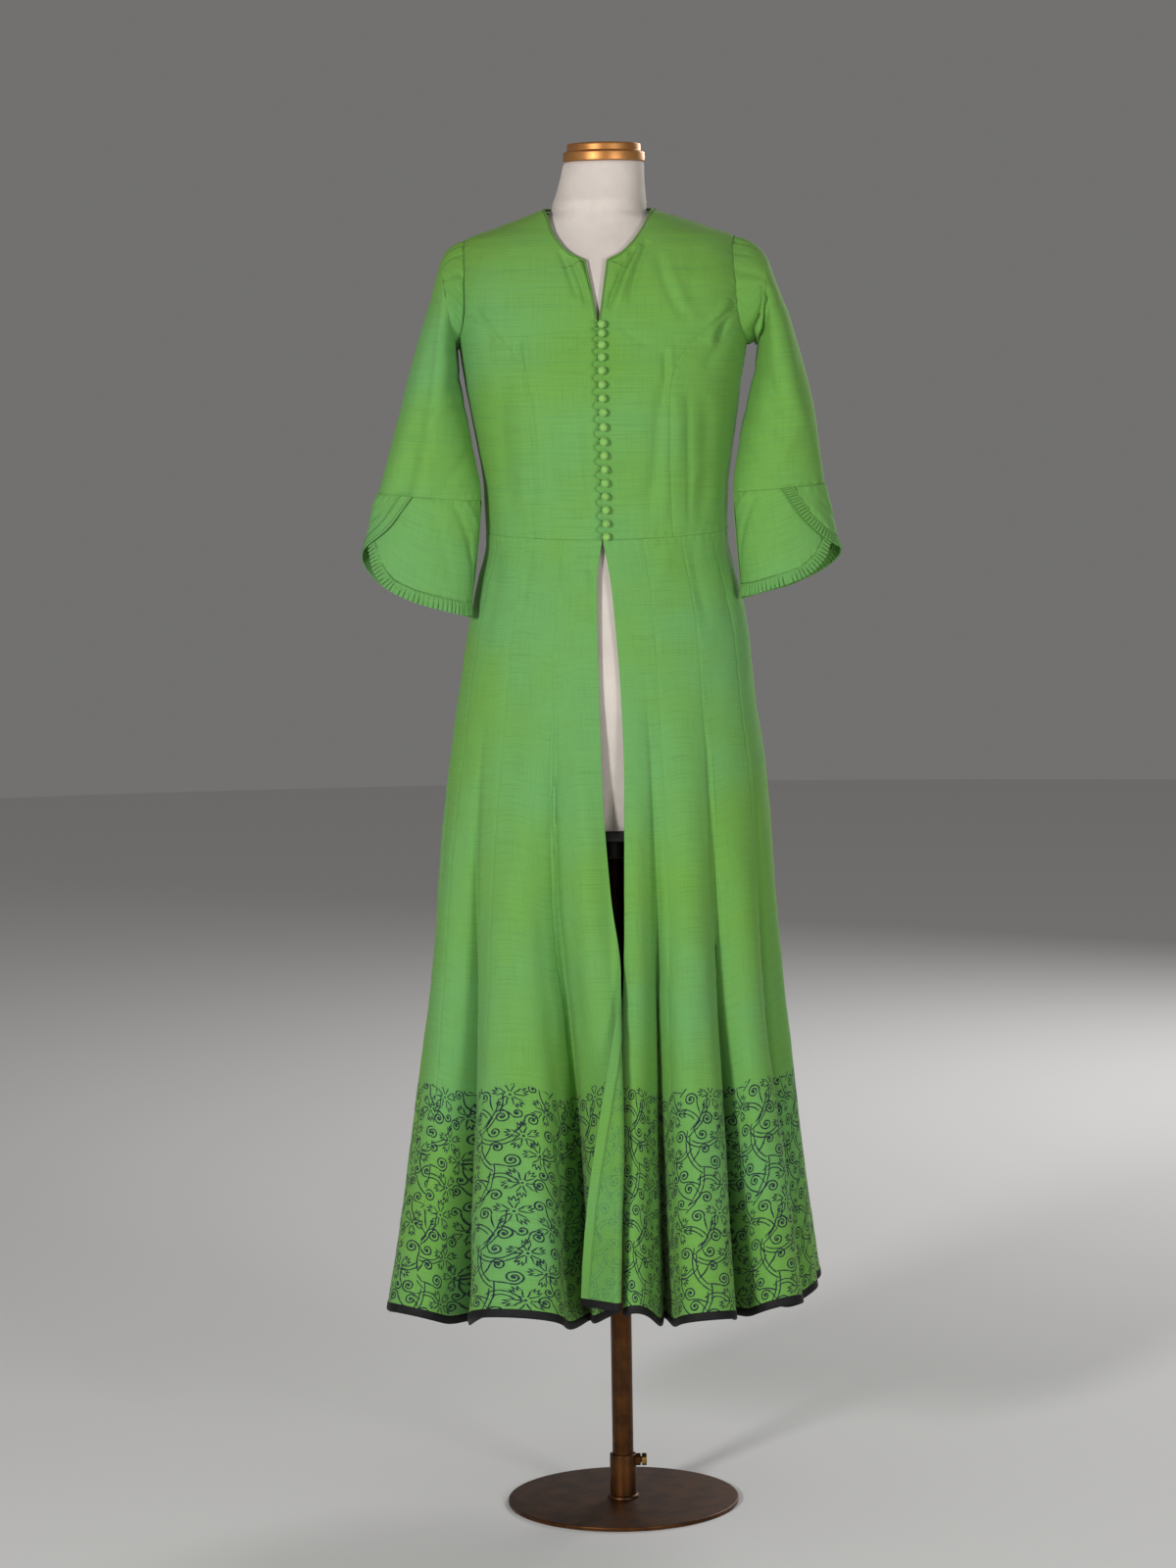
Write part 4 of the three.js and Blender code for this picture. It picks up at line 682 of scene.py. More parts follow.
neckline = tableOf(
    "z half",
    (1401, 0.3), (1437, 6.2), (1471, 11.8), (1479, 28), (1490, 40), (1506, 51), (1520, 57.5),
)
princess = tableOf(
    "z side",
    (1157, 80), (1200, 79), (1250, 79), (1300, 80), (1335, 85), (1360, 95), (1380, 111), (1398, 134),
)
openingHeights = [1151, 1200, 1250, 1300, 1345, 1388, 1402.5, 1437, 1471]
sideSeamHeights = [1157, 1195, 1235, 1270, 1300, 1325, 1345, 1360, 1372]
armhole = [
    (90, 1497), (76, 1491), (67, 1476), (62, 1456), (61, 1434), (62, 1413), (65, 1397), (71, 1385),
    (80, 1377), (92, 1372), (104, 1377), (114, 1390), (120, 1410), (121, 1435), (117, 1460), (106, 1483),
]
piping = {"inset": 3.0, "radius": 1.35, "lift": 0.1, "sides": 12}

around = [{"i": i, "angle": math.radians(armhole[i % 16][0]), "z": armhole[i % 16][1]} for i in range(-3, 20)]
armholeAngle, armholeZ = (smoothCurve(around, "i", key, True) for key in ("angle", "z"))


def armholeAt(index):
    return np.stack([armholeAngle(index), armholeZ(index)], -1)


def lineOf(rows):
    # a smooth line through rows of (angle, height)
    table = [{"i": i, "angle": angle, "z": z} for i, (angle, z) in enumerate(rows)]
    angle, z = (smoothCurve(table, "i", key, True) for key in ("angle", "z"))
    return lambda index: np.stack([angle(index), z(index)], -1)


def joined(parts, t):
    # one line from several, each given with the number of rows that it spans
    index = np.asarray(t, float) * sum(count for _, count in parts)
    result, start = np.zeros((len(index), 2)), 0
    for line, count in parts:
        inside = index >= start if start else index > -1
        result[inside] = line(np.clip(index - start, 0, count))[inside]
        start += count
    return result


def scaleAt(line):
    # millimetres of cloth for one radian, and for one millimetre of height
    angle, z = line[:, 0], line[:, 1]
    sideways = np.linalg.norm(bodyAt(angle + 0.01, z) - bodyAt(angle - 0.01, z), axis=1) / 0.02
    upwards = np.linalg.norm(bodyAt(angle, z + 1) - bodyAt(angle, z - 1), axis=1) / 2
    return sideways, np.maximum(upwards, 1)


def insetLine(line, distance):
    # moves a line over the cloth to its right-hand side
    sideways, upwards = scaleAt(line)
    flat = np.stack([np.gradient(line[:, 0]) * sideways, np.gradient(line[:, 1]) * upwards], -1)
    flat = unit(flat)
    moved = line.copy()
    moved[:, 0] += distance * flat[:, 1] / sideways
    moved[:, 1] -= distance * flat[:, 0] / upwards
    return moved


neckHalf = smoothCurve(neckline, "z", "half")
openingRows = [(0 if z < 1401 else angleAt(float(neckHalf(z)), z), z) for z in openingHeights]
openingRows[0] = (0, garment["waistZ"])
roundNeck = [(row["half"], row["z"]) for row in neckline[2:]] + [(61.9, garment["neckSideZ"])]
roundNeck = np.array(roundNeck, float)
neckLength = np.concatenate([[0], np.cumsum(np.hypot(*np.diff(roundNeck, axis=0).T))])
neckTable = [{"s": s, "x": x, "z": z} for s, (x, z) in zip(neckLength / neckLength[-1] * 5, roundNeck)]
neckX, neckZ = (smoothCurve(neckTable, "s", key, True) for key in ("x", "z"))
neckSteps = np.linspace(0, 5, 81)
neckAngles = np.array([angleAt(float(neckX(s)), float(neckZ(s))) for s in neckSteps])
neckAngles[-1] = math.pi / 2
neckLine = lambda index: np.stack([np.interp(index, neckSteps, neckAngles), neckZ(index)], -1)
frontLine = [(lineOf(openingRows[:7]), 6), (lineOf(openingRows[6:]), 2), (neckLine, 5)]
princessRows = [(angleAt(row["side"], row["z"]), row["z"]) for row in princess]
princessRows[0] = (princessRows[0][0], waistAt(princessRows[0][0]))
princessRows.append((math.radians(62), 1413))
princessLine = lineOf(princessRows)
sideAngle = math.radians(92)
sideRows = [(sideAngle, z) for z in sideSeamHeights]
sideRows[0] = (sideAngle, waistAt(sideAngle))
sideLine = lineOf(sideRows)


def between(first, last, t):
    return first + (np.asarray(last) - first) * t[:, None]


def panelGrid(first, last, bottom, top, u, v):
    u, v = u[:, None, None], v[None, :, None]
    across = first[None] * (1 - u) + last[None] * u
    up = bottom[:, None] * (1 - v) + top[:, None] * v
    low = first[0] * (1 - u) + last[0] * u
    high = first[-1] * (1 - u) + last[-1] * u
    return across + up - low * (1 - v) - high * v


def atWaist(start, end, t):
    angle = start + (end - start) * t
    return np.stack([angle, waistAt(angle)], -1)


def mirroredPanel(flat):
    flat = flat[::-1].copy()
    flat[..., 0] *= -1
    return flat


def frontPanel():
    u, v = spread(96), spread(170, 0.006)
    edge = joined(frontLine, v)
    first = np.where((edge[:, 1:] > 1402) | (v[:, None] > 0.5), insetLine(edge, piping["inset"]), edge)
    last = joined([(princessLine, 8), (lambda i: armholeAt(5 - i), 5)], v)
    top = between(first[-1], last[-1], u)
    return panelGrid(first, last, atWaist(0, last[0, 0], u), top, u, v)


def sidePanel():
    u, v = spread(44), spread(110, 0.008)
    first, last = princessLine(v * 8), sideLine(v * 8)
    return panelGrid(first, last, atWaist(first[0, 0], last[0, 0], u), armholeAt(5 + u * 4), u, v)


def backPanel():
    u, v = spread(140, 0.004), spread(110, 0.006)
    shoulder = lambda i: np.stack([np.full(len(i), math.pi / 2), np.interp(i, [0, 5], [1497, 1531])], -1)
    first = joined([(sideLine, 8), (lambda i: armholeAt(9 + i), 7), (shoulder, 5)], v)
    last = first.copy()
    last[:, 0] = 2 * math.pi - first[:, 0]
    dip = garment["neckBackDip"] * np.sin(math.pi * u) + piping["inset"] * 0.55
    top = np.stack([math.pi / 2 + math.pi * u, garment["neckSideZ"] - dip], -1)
    top[0], top[-1] = first[-1], last[-1]
    return panelGrid(first, last, atWaist(first[0, 0], last[0, 0], u), top, u, v)


# Creases and folds of the front, from the photograph: places are sideways and upwards
bodiceCreases = tableOf(
    "fromX fromZ toX toZ wide height bow",
    (-43, 1477, -23, 1422, 3.5, -3.6, 2), (-36, 1478, -18, 1432, 3.2, 2.8, 1),
    (-52, 1482, -34, 1428, 3.6, -3.0, 1), (-27, 1474, -15, 1440, 2.8, -2.4),
    (34, 1483, 2, 1414, 3.8, -4.8, -3), (42, 1487, 14, 1420, 4.4, 4.0, -3),
    (27, 1480, 6, 1437, 2.8, 2.1, -1), (49, 1492, 27, 1422, 4.2, -3.4, -2),
    (22, 1476, 12, 1452, 2.4, -1.9), (65, 1367, 64, 1301, 4.6, -3.0, 3),
    (73, 1372, 72, 1290, 4.6, 2.0, 2), (60, 1330, 44, 1176, 8, -2.6, 4), (78, 1316, 66, 1172, 9, 2.2, 3),
    (112, 1316, 104, 1170, 9, -2.4, 5), (60, 1480, 88, 1404, 6, -2.0, -5),
    (72, 1474, 104, 1398, 7, 1.6, -5), (-101, 1381, -88, 1300, 3.4, -3.2, -2),
    (-93, 1376, -81, 1294, 4.6, 2.0, -2), (-66, 1330, -58, 1180, 9, -1.9, -4),
    (-40, 1320, -34, 1176, 8, 1.6, 3), (-120, 1340, -112, 1180, 10, -2.2, -4),
    (-88, 1321, -84, 1160, 3.2, -2.3), (-96, 1318, -99, 1170, 5.0, 0.8), (92, 1318, 92, 1166, 3.2, -2.0),
    (-60, 1215, -20, 1190, 9, -1.0, 4), (-118, 1232, -70, 1206, 8, 1.0, 4),
    (66, 1214, 18, 1186, 9, -1.1, -4), (122, 1238, 84, 1205, 8, 1.0, -3),
    (152, 1419, 128, 1376, 4.5, -5.0, -3), (141, 1424, 116, 1372, 6.0, 3.6, -4),
    (147, 1388, 112, 1345, 6.0, -1.6, -3), (-152, 1417, -131, 1377, 4.5, -2.2, 3),
    (-141, 1420, -118, 1366, 6.0, 1.8, 3), (-108, 1484, -96, 1430, 8, -0.9, 3),
    (106, 1484, 98, 1424, 8, -1.1, -3), (-10, 1400, -44, 1368, 5, -1.1, 2),
    (14, 1396, 48, 1372, 5, -1.0, -2),
)
backCreases = tableOf(
    "fromX fromZ toX toZ wide height bow",
    (-58, 1500, -34, 1400, 7, -1.5, 4), (62, 1498, 40, 1408, 7, -1.3, -4),
    (-70, 1260, 10, 1216, 10, -1.4, 6), (84, 1246, 6, 1200, 9, -1.3, -6),
    (-40, 1226, 44, 1182, 10, 1.2, 5), (-148, 1400, -112, 1352, 6, -2.4, 3),
    (150, 1404, 116, 1348, 6, -2.6, -3), (4, 1500, 1, 1172, 2.4, -0.8),
    (-84, 1420, -72, 1170, 2.4, -1.0, 4), (84, 1420, 72, 1170, 2.4, -1.0, -4),
)


def unevenness(points, height=0.7):
    # the same on both sides of every seam
    return softHeight(points, 130, height, 3) + softHeight(points, 42, height * 0.28, 4)


def relaxed(grid, table, wrapped=False, height=0.7, heldEdges=()):
    # creases fade towards the edges at which a neighbour holds the cloth
    grid = grid + gridNormals(grid, wrapped) * unevenness(grid, height)[..., None]
    moved = creased(grid, table, wrapped) - grid
    far = edgeDistances(grid)
    for edge in heldEdges:
        moved = moved * (1 - np.exp(-(far[edge] / 7) ** 2))[..., None]
    return grid + moved


sheets = []


def clothPiece(name, plain, grid, materials, node, held="draped", rests=("form_cover",),
               thick=garment["clothThick"], wrapped=False, vertical="bottom", uv=None):
    # a sheet of cloth, kept in the list of sheets: plain is its surface before seams and creases were worked
    # in
    width, length, area = clothSize(plain, wrapped)
    uv = clothUv(plain, wrapped, vertical) if uv is None else uv
    piece = shell(name, grid, uv, materials, thick, wrapped)
    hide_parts(*([node] if isinstance(node, str) else node))
    sheets.append((piece, width, length, area, held, rests))
    return piece


plainPair = [kurtiPlain, kurtiInside]
frontFlat, sideFlat = frontPanel(), sidePanel()
bodicePanels = [
    ("front_right", frontFlat, ["last", "bottom", "top"], bodiceCreases, ["last", "bottom"]),
    ("front_left", mirroredPanel(frontFlat), ["first", "bottom", "top"], bodiceCreases, ["first", "bottom"]),
    ("side_right", sideFlat, ["first", "last", "bottom", "top"], bodiceCreases, ["first", "top", "bottom"]),
    ("side_left", mirroredPanel(sideFlat), ["first", "last", "bottom", "top"], bodiceCreases,
     ["last", "top", "bottom"]),
    ("back", backPanel(), ["first", "last", "bottom"], backCreases, ["first", "last", "bottom"]),
]
for number, (word, flat, edges, table, heldEdges) in enumerate(bodicePanels):
    plain = bodyAt(flat[..., 0], flat[..., 1])
    grid = seamed(relaxed(plain, table, height=0.9, heldEdges=heldEdges), edges, 20 + number)
    level = np.stack([flat[..., 0] * 145, flat[..., 1]], -1)
    clothPiece(f"kurti_bodice_{word}", plain, grid, plainPair, f"bodice_{word}", "stretched",
               uv=level)
print("bodice made")


# Neck piping, button loops and buttons

def lifted(line, lift):
    # places a little off the front's own relaxed surface
    angle, z = line[:, 0], line[:, 1]
    patch = np.stack([bodyAt(angle + step, z) for step in (-0.01, 0, 0.01)])
    rows = np.stack([bodyAt(angle, z + step) for step in (-1, 0, 1)])
    normal = unit(np.cross(patch[2] - patch[0], rows[2] - rows[0]))
    return patch[1] + normal * (unevenness(patch[1]) + lift)[..., None], normal


def pipingLine():
    t = np.linspace(6 / 13, 1, 90)  # the front edge's part above the slit's foot
    right = insetLine(joined(frontLine, t), piping["inset"] / 2)
    half = np.linspace(0, 1, 62)[1:-1]
    back = np.stack([math.pi / 2 + math.pi * half,
                     garment["neckSideZ"] - garment["neckBackDip"] * np.sin(math.pi * half) - 0.9], -1)
    left = right.copy()
    left[:, 0] *= -1
    back[:, 0] -= 2 * math.pi
    return left, back, right


def makePiping():
    left, back, right = pipingLine()
    line = np.concatenate([left, back, right[::-1]])
    path, normal = lifted(line, piping["lift"])
    piece = tube("kurti_neck_piping", path, piping["radius"], pipingCloth, sides=piping["sides"], up=normal)
    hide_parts("neck_piping")


makePiping()

buttons = {
    "count": 17, "radius": 5, "first": 1396, "pitch": 15.75, "crowding": 5.4, "rows": 1.5, "offset": 4.5,
    "gathers": 0.5, "lift": 0.4,
}
buttonZ = [buttons["first"]]
for i in range(buttons["count"] - 1):
    buttonZ.append(buttonZ[-1] - buttons["pitch"] + buttons["crowding"] * math.exp(-i / buttons["rows"]))


def onFront(distance, z, side, lift):
    angle = angleAt(distance, z) * side
    place, normal = lifted(np.array([[angle, z]]), lift)
    return place[0], normal[0]


loop = {"radius": 0.65, "steps": 15, "out": 7.2, "swing": 6.3, "lift": 1.3, "arch": 0.5, "longest": 14}


def loopPath():
    path, normals = [], []
    for i, z in enumerate(buttonZ):
        near = min(buttonZ[0] - buttonZ[1] if i == 0 else buttonZ[i - 1] - z, loop["longest"])
        for share in np.linspace(-0.5, 0.5, loop["steps"])[:-1] + 0.033:
            wave = (math.cos(2 * math.pi * share) + 1) / 2
            height = max(z - share * near, garment["waistZ"] + 2.5 - 0.02 * share)
            place, normal = onFront(loop["out"] - loop["swing"] * wave, height, -1,
                                    loop["lift"] + loop["arch"] * wave)
            path.append(place)
            normals.append(normal)
    return np.array(path), np.array(normals)


loopLine, loopNormals = loopPath()
loopPiece = tube("kurti_button_loops", loopLine, loop["radius"], cordCloth, sides=8, up=loopNormals)
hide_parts("button_loops")


# Geometry Nodes: repeats one item over places or along lines

class Nodes:
    def __init__(self, name):
        self.group = bpy.data.node_groups.new(name, "GeometryNodeTree")
        self.ids = {}
        self.add("Geometry", "NodeSocketGeometry")
        self.group.interface.new_socket("Geometry", in_out="OUTPUT", socket_type="NodeSocketGeometry")
        self.entry = self.group.nodes.new("NodeGroupInput")
        self.exit = self.group.nodes.new("NodeGroupOutput")

    def add(self, name, kind):
        self.ids[name] = self.group.interface.new_socket(name, in_out="INPUT", socket_type=kind).identifier

    def make(self, kind, settings=None, links=None):
        node = self.group.nodes.new(kind)
        for key, value in (settings or {}).items():
            setattr(node, key, value)
        for key, value in (links or {}).items():
            if hasattr(value, "is_output"):
                self.group.links.new(value, node.inputs[key])
            else:
                node.inputs[key].default_value = value
        return node


def repeaterGroup(name, alongLines):
    made = Nodes(name)
    made.add("Item", "NodeSocketObject")
    made.add("Material", "NodeSocketMaterial")
    made.add("Spacing", "NodeSocketFloat")
    made.add("Size spread", "NodeSocketFloat")
    made.add("Seed", "NodeSocketInt")
    entry = made.entry.outputs
    points = entry["Geometry"]
    turn = None
    if alongLines:
        curve = made.make("GeometryNodeMeshToCurve", {}, {"Mesh": points}).outputs["Curve"]
        points = made.make("GeometryNodeResampleCurve", {"mode": "LENGTH"},
                           {"Curve": curve, "Length": entry["Spacing"]}).outputs["Curve"]
        tangent = made.make("GeometryNodeInputTangent").outputs["Tangent"]
        turn = made.make("FunctionNodeAlignRotationToVector", {"axis": "X"}, {"Vector": tangent}).outputs[0]
    least = made.make("ShaderNodeMath", {"operation": "SUBTRACT"},
                      {0: 1.0, 1: entry["Size spread"]}).outputs[0]
    size = made.make("FunctionNodeRandomValue", {"data_type": "FLOAT"},
                     {2: least, 3: 1.0, "Seed": entry["Seed"]}).outputs[1]
    item = made.make("GeometryNodeObjectInfo", {}, {"Object": entry["Item"]}).outputs["Geometry"]
    links = {"Points": points, "Instance": item, "Scale": size}
    if turn:
        links["Rotation"] = turn
    placed = made.make("GeometryNodeInstanceOnPoints", {}, links).outputs["Instances"]
    real = made.make("GeometryNodeRealizeInstances", {}, {"Geometry": placed}).outputs["Geometry"]
    shown = made.make("GeometryNodeSetMaterial", {}, {"Geometry": real, "Material": entry["Material"]})
    made.group.links.new(shown.outputs["Geometry"], made.exit.inputs["Geometry"])
    return made


stitchGroup, placeGroup = repeaterGroup("stitches_along_lines", True), repeaterGroup("items_on_places", False)


def repeated(name, made, paths, item, material, spacing=3.0, sizeSpread=0.1, seed=1):
    points = np.concatenate([np.asarray(path, float) for path in paths])
    edges, start = [], 0
    for path in paths:
        if made is stitchGroup:
            edges += [(start + k, start + k + 1) for k in range(len(path) - 1)]
        start += len(path)
    mesh = bpy.data.meshes.new(name + "_lines")
    mesh.from_pydata((points * mm).tolist(), edges, [])
    carrier = bpy.data.objects.new(name + "_lines", mesh)
    bpy.context.scene.collection.objects.link(carrier)
    modifier = carrier.modifiers.new("repeat", "NODES")
    modifier.node_group = made.group
    values = {"Item": item, "Material": material, "Spacing": spacing * mm, "Size spread": sizeSpread,
              "Seed": seed}
    for key, value in values.items():
        modifier[made.ids[key]] = value
    shown = carrier.evaluated_get(bpy.context.evaluated_depsgraph_get())
    plain = bpy.data.meshes.new_from_object(shown)
    carrier.modifiers.clear()
    bpy.data.objects.remove(carrier)
    plain.name = name
    piece = bpy.data.objects.new(name, plain)
    bpy.context.scene.collection.objects.link(piece)
    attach(piece, "form")
    return piece


def itemMesh(name, points, faces):
    mesh = bpy.data.meshes.new(name)
    mesh.from_pydata((np.asarray(points, float) * mm).tolist(), [], faces)
    mesh.polygons.foreach_set("use_smooth", np.ones(len(mesh.polygons), bool))
    return bpy.data.objects.new(name, mesh)


def ballItem(radius, rings, sides, gathers=0.0):
    # a covered ball whose cloth is drawn together behind it
    points = [(0, -radius, 0)]
    for ring in range(1, rings):
        polar = math.pi * ring / rings
        for side in range(sides):
            turn = 2 * math.pi * side / sides
            behind = max(0, -math.cos(polar)) ** 0.5
            pulled = radius - gathers * behind * (0.5 + 0.5 * math.cos(turn * sides / 2))
            flat = pulled * math.sin(polar)
            points.append((flat * math.cos(turn), -pulled * math.cos(polar), flat * math.sin(turn)))
    points.append((0, radius, 0))
    faces = []
    for side in range(sides):
        following = (side + 1) % sides
        faces.append((0, 1 + side, 1 + following))
        for ring in range(rings - 2):
            a, b = 1 + ring * sides, 1 + (ring + 1) * sides
            faces.append((a + side, b + side, b + following, a + following))
        last = 1 + (rings - 2) * sides
        faces.append((len(points) - 1, last + following, last + side))
    return points, faces


def stitchItem(length, wide):
    # a short thread with thin ends, lying along X
    points = []
    for x, scale in ((-0.5, 0.25), (-0.32, 0.9), (0.32, 0.9), (0.5, 0.25)):
        for k in range(5):
            turn = 2 * math.pi * k / 5
            points.append((x * length, scale * wide * math.cos(turn), scale * wide * math.sin(turn)))
    return points, ringFaces(4, 5)[1] + [(4, 3, 2, 1, 0), (15, 16, 17, 18, 19)]


buttonItem = itemMesh("covered_ball", *ballItem(buttons["radius"], 14, 24, buttons["gathers"]))
stitch = itemMesh("one_stitch", *stitchItem(2.3, 0.34))
buttonPlaces = [onFront(buttons["offset"], z, 1, buttons["radius"] + buttons["lift"])[0] for z in buttonZ]
buttonPiece = repeated("kurti_buttons", placeGroup, [np.array(buttonPlaces)], buttonItem, buttonCloth,
                       sizeSpread=0.06, seed=4)
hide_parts(*[f"button_{i + 1}" for i in range(buttons["count"])])
print("buttons, loops and piping made")


# Sleeves: where the outer and inner end of each section lie in the front view,
# how far forward its middle is, and its half depth

sleeveRows = {
    -1: [
        (-191, 1472, -176, 1376, 2, 50), (-203, 1433, -175, 1366, 5, 53), (-214, 1396, -173, 1348, 10, 55),
        (-226, 1354, -169, 1322, 16, 55), (-240, 1302, -162, 1284, 24, 51), (-254, 1253, -154, 1241, 31, 44),
        (-267, 1206, -148, 1197, 38, 36), (-291, 1096, -163, 1060, 48, 33),
    ],
    1: [
        (187, 1473, 174, 1374, 2, 50), (200, 1436, 173, 1365, 5, 53), (213, 1398, 171, 1348, 10, 56),
        (226, 1354, 166, 1320, 16, 56), (238, 1302, 157, 1284, 24, 52), (244, 1253, 149, 1242, 31, 47),
        (250, 1210, 144.5, 1203, 38, 42), (268, 1106, 153, 1078, 50, 37),
    ],
}
sleeve = {"turns": 156, "puff": 3.8, "gap": 0.25, "headRadius": 62}
armholeCentre = {side: np.mean([bodyAt(side * row["angle"], row["z"]) for row in around[3:19]], axis=0)
                 for side in (-1, 1)}
sleeveCurves = {}
for side, rows in sleeveRows.items():
    columns = ["outX", "outZ", "inX", "inZ", "forward", "deep"]
    table = [dict(zip(columns, row), at=i + 1) for i, row in enumerate(rows)]
    sleeveCurves[side] = [smoothCurve(table, "at", column) for column in columns]


def sleeveAt(side, turn, station):
    turn, station = np.broadcast_arrays(np.asarray(turn, float), np.asarray(station, float))
    outX, outZ, inX, inZ, forward, deep = [at(np.maximum(station, 1)) for at in sleeveCurves[side]]
    c, s = np.cos(turn), np.sin(turn)
    section = np.stack([(outX + inX) / 2 + (outX - inX) / 2 * c, -forward - deep * s,
                        (outZ + inZ) / 2 + (outZ - inZ) / 2 * c], -1)
    full = np.mod(turn, 2 * math.pi)
    index = np.where(full <= math.pi, 9 * full / math.pi, 9 + 7 * (full - math.pi) / math.pi)
    start = bodyAt(side * armholeAngle(index), armholeZ(index))
    start = start + unit(armholeCentre[side] - start) * sleeve["gap"]
    blend = np.clip(station, 0, 1)
    puff = sleeve["puff"] * np.sin(math.pi * blend) * np.maximum(0, c)
    head = start + (section - start) * blend[..., None] + np.stack([side * puff, 0 * puff, puff], -1)
    return np.where((station >= 1)[..., None], section, head)


def sleeveNormalAt(side, turn, station):
    across = sleeveAt(side, turn + 0.02, station) - sleeveAt(side, turn - 0.02, station)
    along = sleeveAt(side, turn, station + 0.02) - sleeveAt(side, turn, np.maximum(station - 0.02, 0))
    return unit(np.cross(across, along)) * side


# Tucks at the sleeve heads: where round the head, half width, depth and reach down the sleeve
headTucks = {
    -1: [(17, 3.0, 2.6, 26), (34, 2.6, 1.7, 38), (58, 4.2, 1.5, 30), (-8, 3.2, 2.1, 24), (-30, 3.2, 2.3, 34),
         (-56, 3.6, 1.6, 30), (4, 2.6, 1.8, 18)],
    1: [(20, 3.0, 2.8, 24), (39, 2.6, 1.6, 20), (61, 4.6, 1.9, 34), (-6, 2.8, 2.2, 22), (-27, 3.4, 2.3, 32),
        (-52, 3.6, 1.8, 30), (7, 2.6, 2.0, 18)],
}
sleeveCreases = tableOf(
    "fromX fromZ toX toZ wide height bow",
    (-193, 1440, -262, 1120, 11, -5.0, 9), (-178, 1425, -236, 1130, 13, 2.6, 7),
    (-172, 1345, -204, 1300, 8, -2.0, 4), (-166, 1310, -212, 1262, 8, -1.6, -4),
    (-240, 1286, -206, 1230, 8, 1.4, 5), (-158, 1262, -190, 1214, 6, -1.4, 3),
    (186, 1440, 170, 1382, 7, -5.5, 5), (180, 1398, 200, 1290, 10, -3.6, -7),
    (202, 1416, 226, 1270, 11, 3.2, -6), (170, 1350, 200, 1306, 8, -2.2, -4),
    (160, 1300, 206, 1258, 8, -1.6, 4), (232, 1290, 200, 1236, 8, 1.4, -5),
    (152, 1262, 186, 1222, 6, -1.4, -3),
)


def sleeveGrid(side):
    turn = np.linspace(0, 2 * math.pi, sleeve["turns"], endpoint=False)
    turn = turn if side > 0 else turn[::-1]
    head = [0, 0.03, 0.07, 0.12]
    station = np.concatenate([head, np.linspace(0.18, 1, 20), 1 + 6 * spread(110, 0.004)[1:]])
    plain = sleeveAt(side, turn[:, None], station[None, :])
    grid = relaxed(plain, sleeveCreases, wrapped=True)
    normals = gridNormals(grid, True)
    down = edgeDistances(grid)["bottom"]
    sunk = np.zeros(grid.shape[:2])
    for at, wide, deep, reach in headTucks[side]:
        apart = (np.degrees(turn) - at + 180) % 360 - 180
        off = np.radians(apart)[:, None] * sleeve["headRadius"]
        along = np.exp(-(down / reach) ** 2) * (1 - np.exp(-(down / 2.5) ** 2))
        sunk -= deep * np.exp(-(off / wide) ** 2) * along
        sunk += deep * 0.45 * np.exp(-((off - wide * 1.9) / wide) ** 2) * along
    grid = grid + normals * sunk[..., None]
    return plain, seamed(grid, ["bottom", "top"], 40 + side, True)


for side, word in ((-1, "left"), (1, "right")):
    plain, grid = sleeveGrid(side)
    clothPiece(f"kurti_sleeve_{word}", plain, grid, plainPair, f"sleeve_{word}", "hung",
               [f"kurti_bodice_front_{word}", "kurti_bodice_back"], wrapped=True, vertical="top")
print("sleeves made")


# Cuffs: two petals that overlap on the outer side

cuff = {"arc": 0.86, "length": 122, "station": 7, "trim": 12, "shortest": 4, "pitch": 4.6}
# The edge of each petal: degrees turned from its start, and how far down it is there
petalEdges = {
    (-1, "front"): [(0, 0), (6, 0.16), (14, 0.31), (26, 0.46), (44, 0.61), (66, 0.81), (90, 0.93),
        (125, 0.975), (165, 0.98), (210, 0.965), (260, 0.965)],
    (-1, "back"): [(0, 0), (9, 0.2), (20, 0.37), (35, 0.49), (55, 0.59), (75, 0.68), (100, 0.81),
        (130, 0.94), (165, 1.0), (210, 1.0), (260, 0.985)],
    (1, "front"): [(0, 0), (8, 0.18), (20, 0.36), (38, 0.55), (57, 0.69), (76, 0.83), (105, 0.93),
        (135, 0.955), (170, 0.97), (215, 0.965), (260, 0.965)],
    (1, "back"): [(0, 0), (10, 0.23), (21, 0.4), (41, 0.58), (63, 0.69), (90, 0.755), (120, 0.86),
        (151, 0.95), (185, 1.0), (230, 1.005), (280, 0.985)],
}
petals = {
    "front": {"start": {-1: -25, 1: -25}, "end": 180, "top": -1.1, "bottom": -0.4, "fade": 0},
    "back": {"start": {-1: 72, 1: 88}, "end": -180, "top": 2, "bottom": 4.4, "fade": 0.8},
}
# Creases of the petals: where round the cuff and how far down they start and end
petalCreases = {
    (-1, "front"): [(118, 8, 158, 70, 4.5, -1.8), (132, 2, 170, 44, 4, 1.4), (96, 20, 128, 92, 5, -1.0),
                    (60, 12, 72, 78, 6, 0.8), (146, 40, 176, 100, 4, -1.5)],
    (-1, "back"): [(34, 28, -4, 52, 4, -1.3), (22, 10, -20, 30, 5, 1.0), (-60, 10, -72, 96, 6, -1.2),
                   (-118, 8, -140, 90, 6, -1.3)],
    (1, "front"): [(120, 6, 160, 66, 4.5, -1.7), (134, 2, 172, 40, 4, 1.4), (90, 24, 118, 94, 5, -1.0),
                   (150, 44, 176, 98, 4, -1.4)],
    (1, "back"): [(40, 26, 2, 60, 4, -1.3), (52, 34, 22, 78, 5, 1.0), (-64, 12, -76, 98, 6, -1.2),
                  (-120, 8, -144, 92, 6, -1.2)],
}


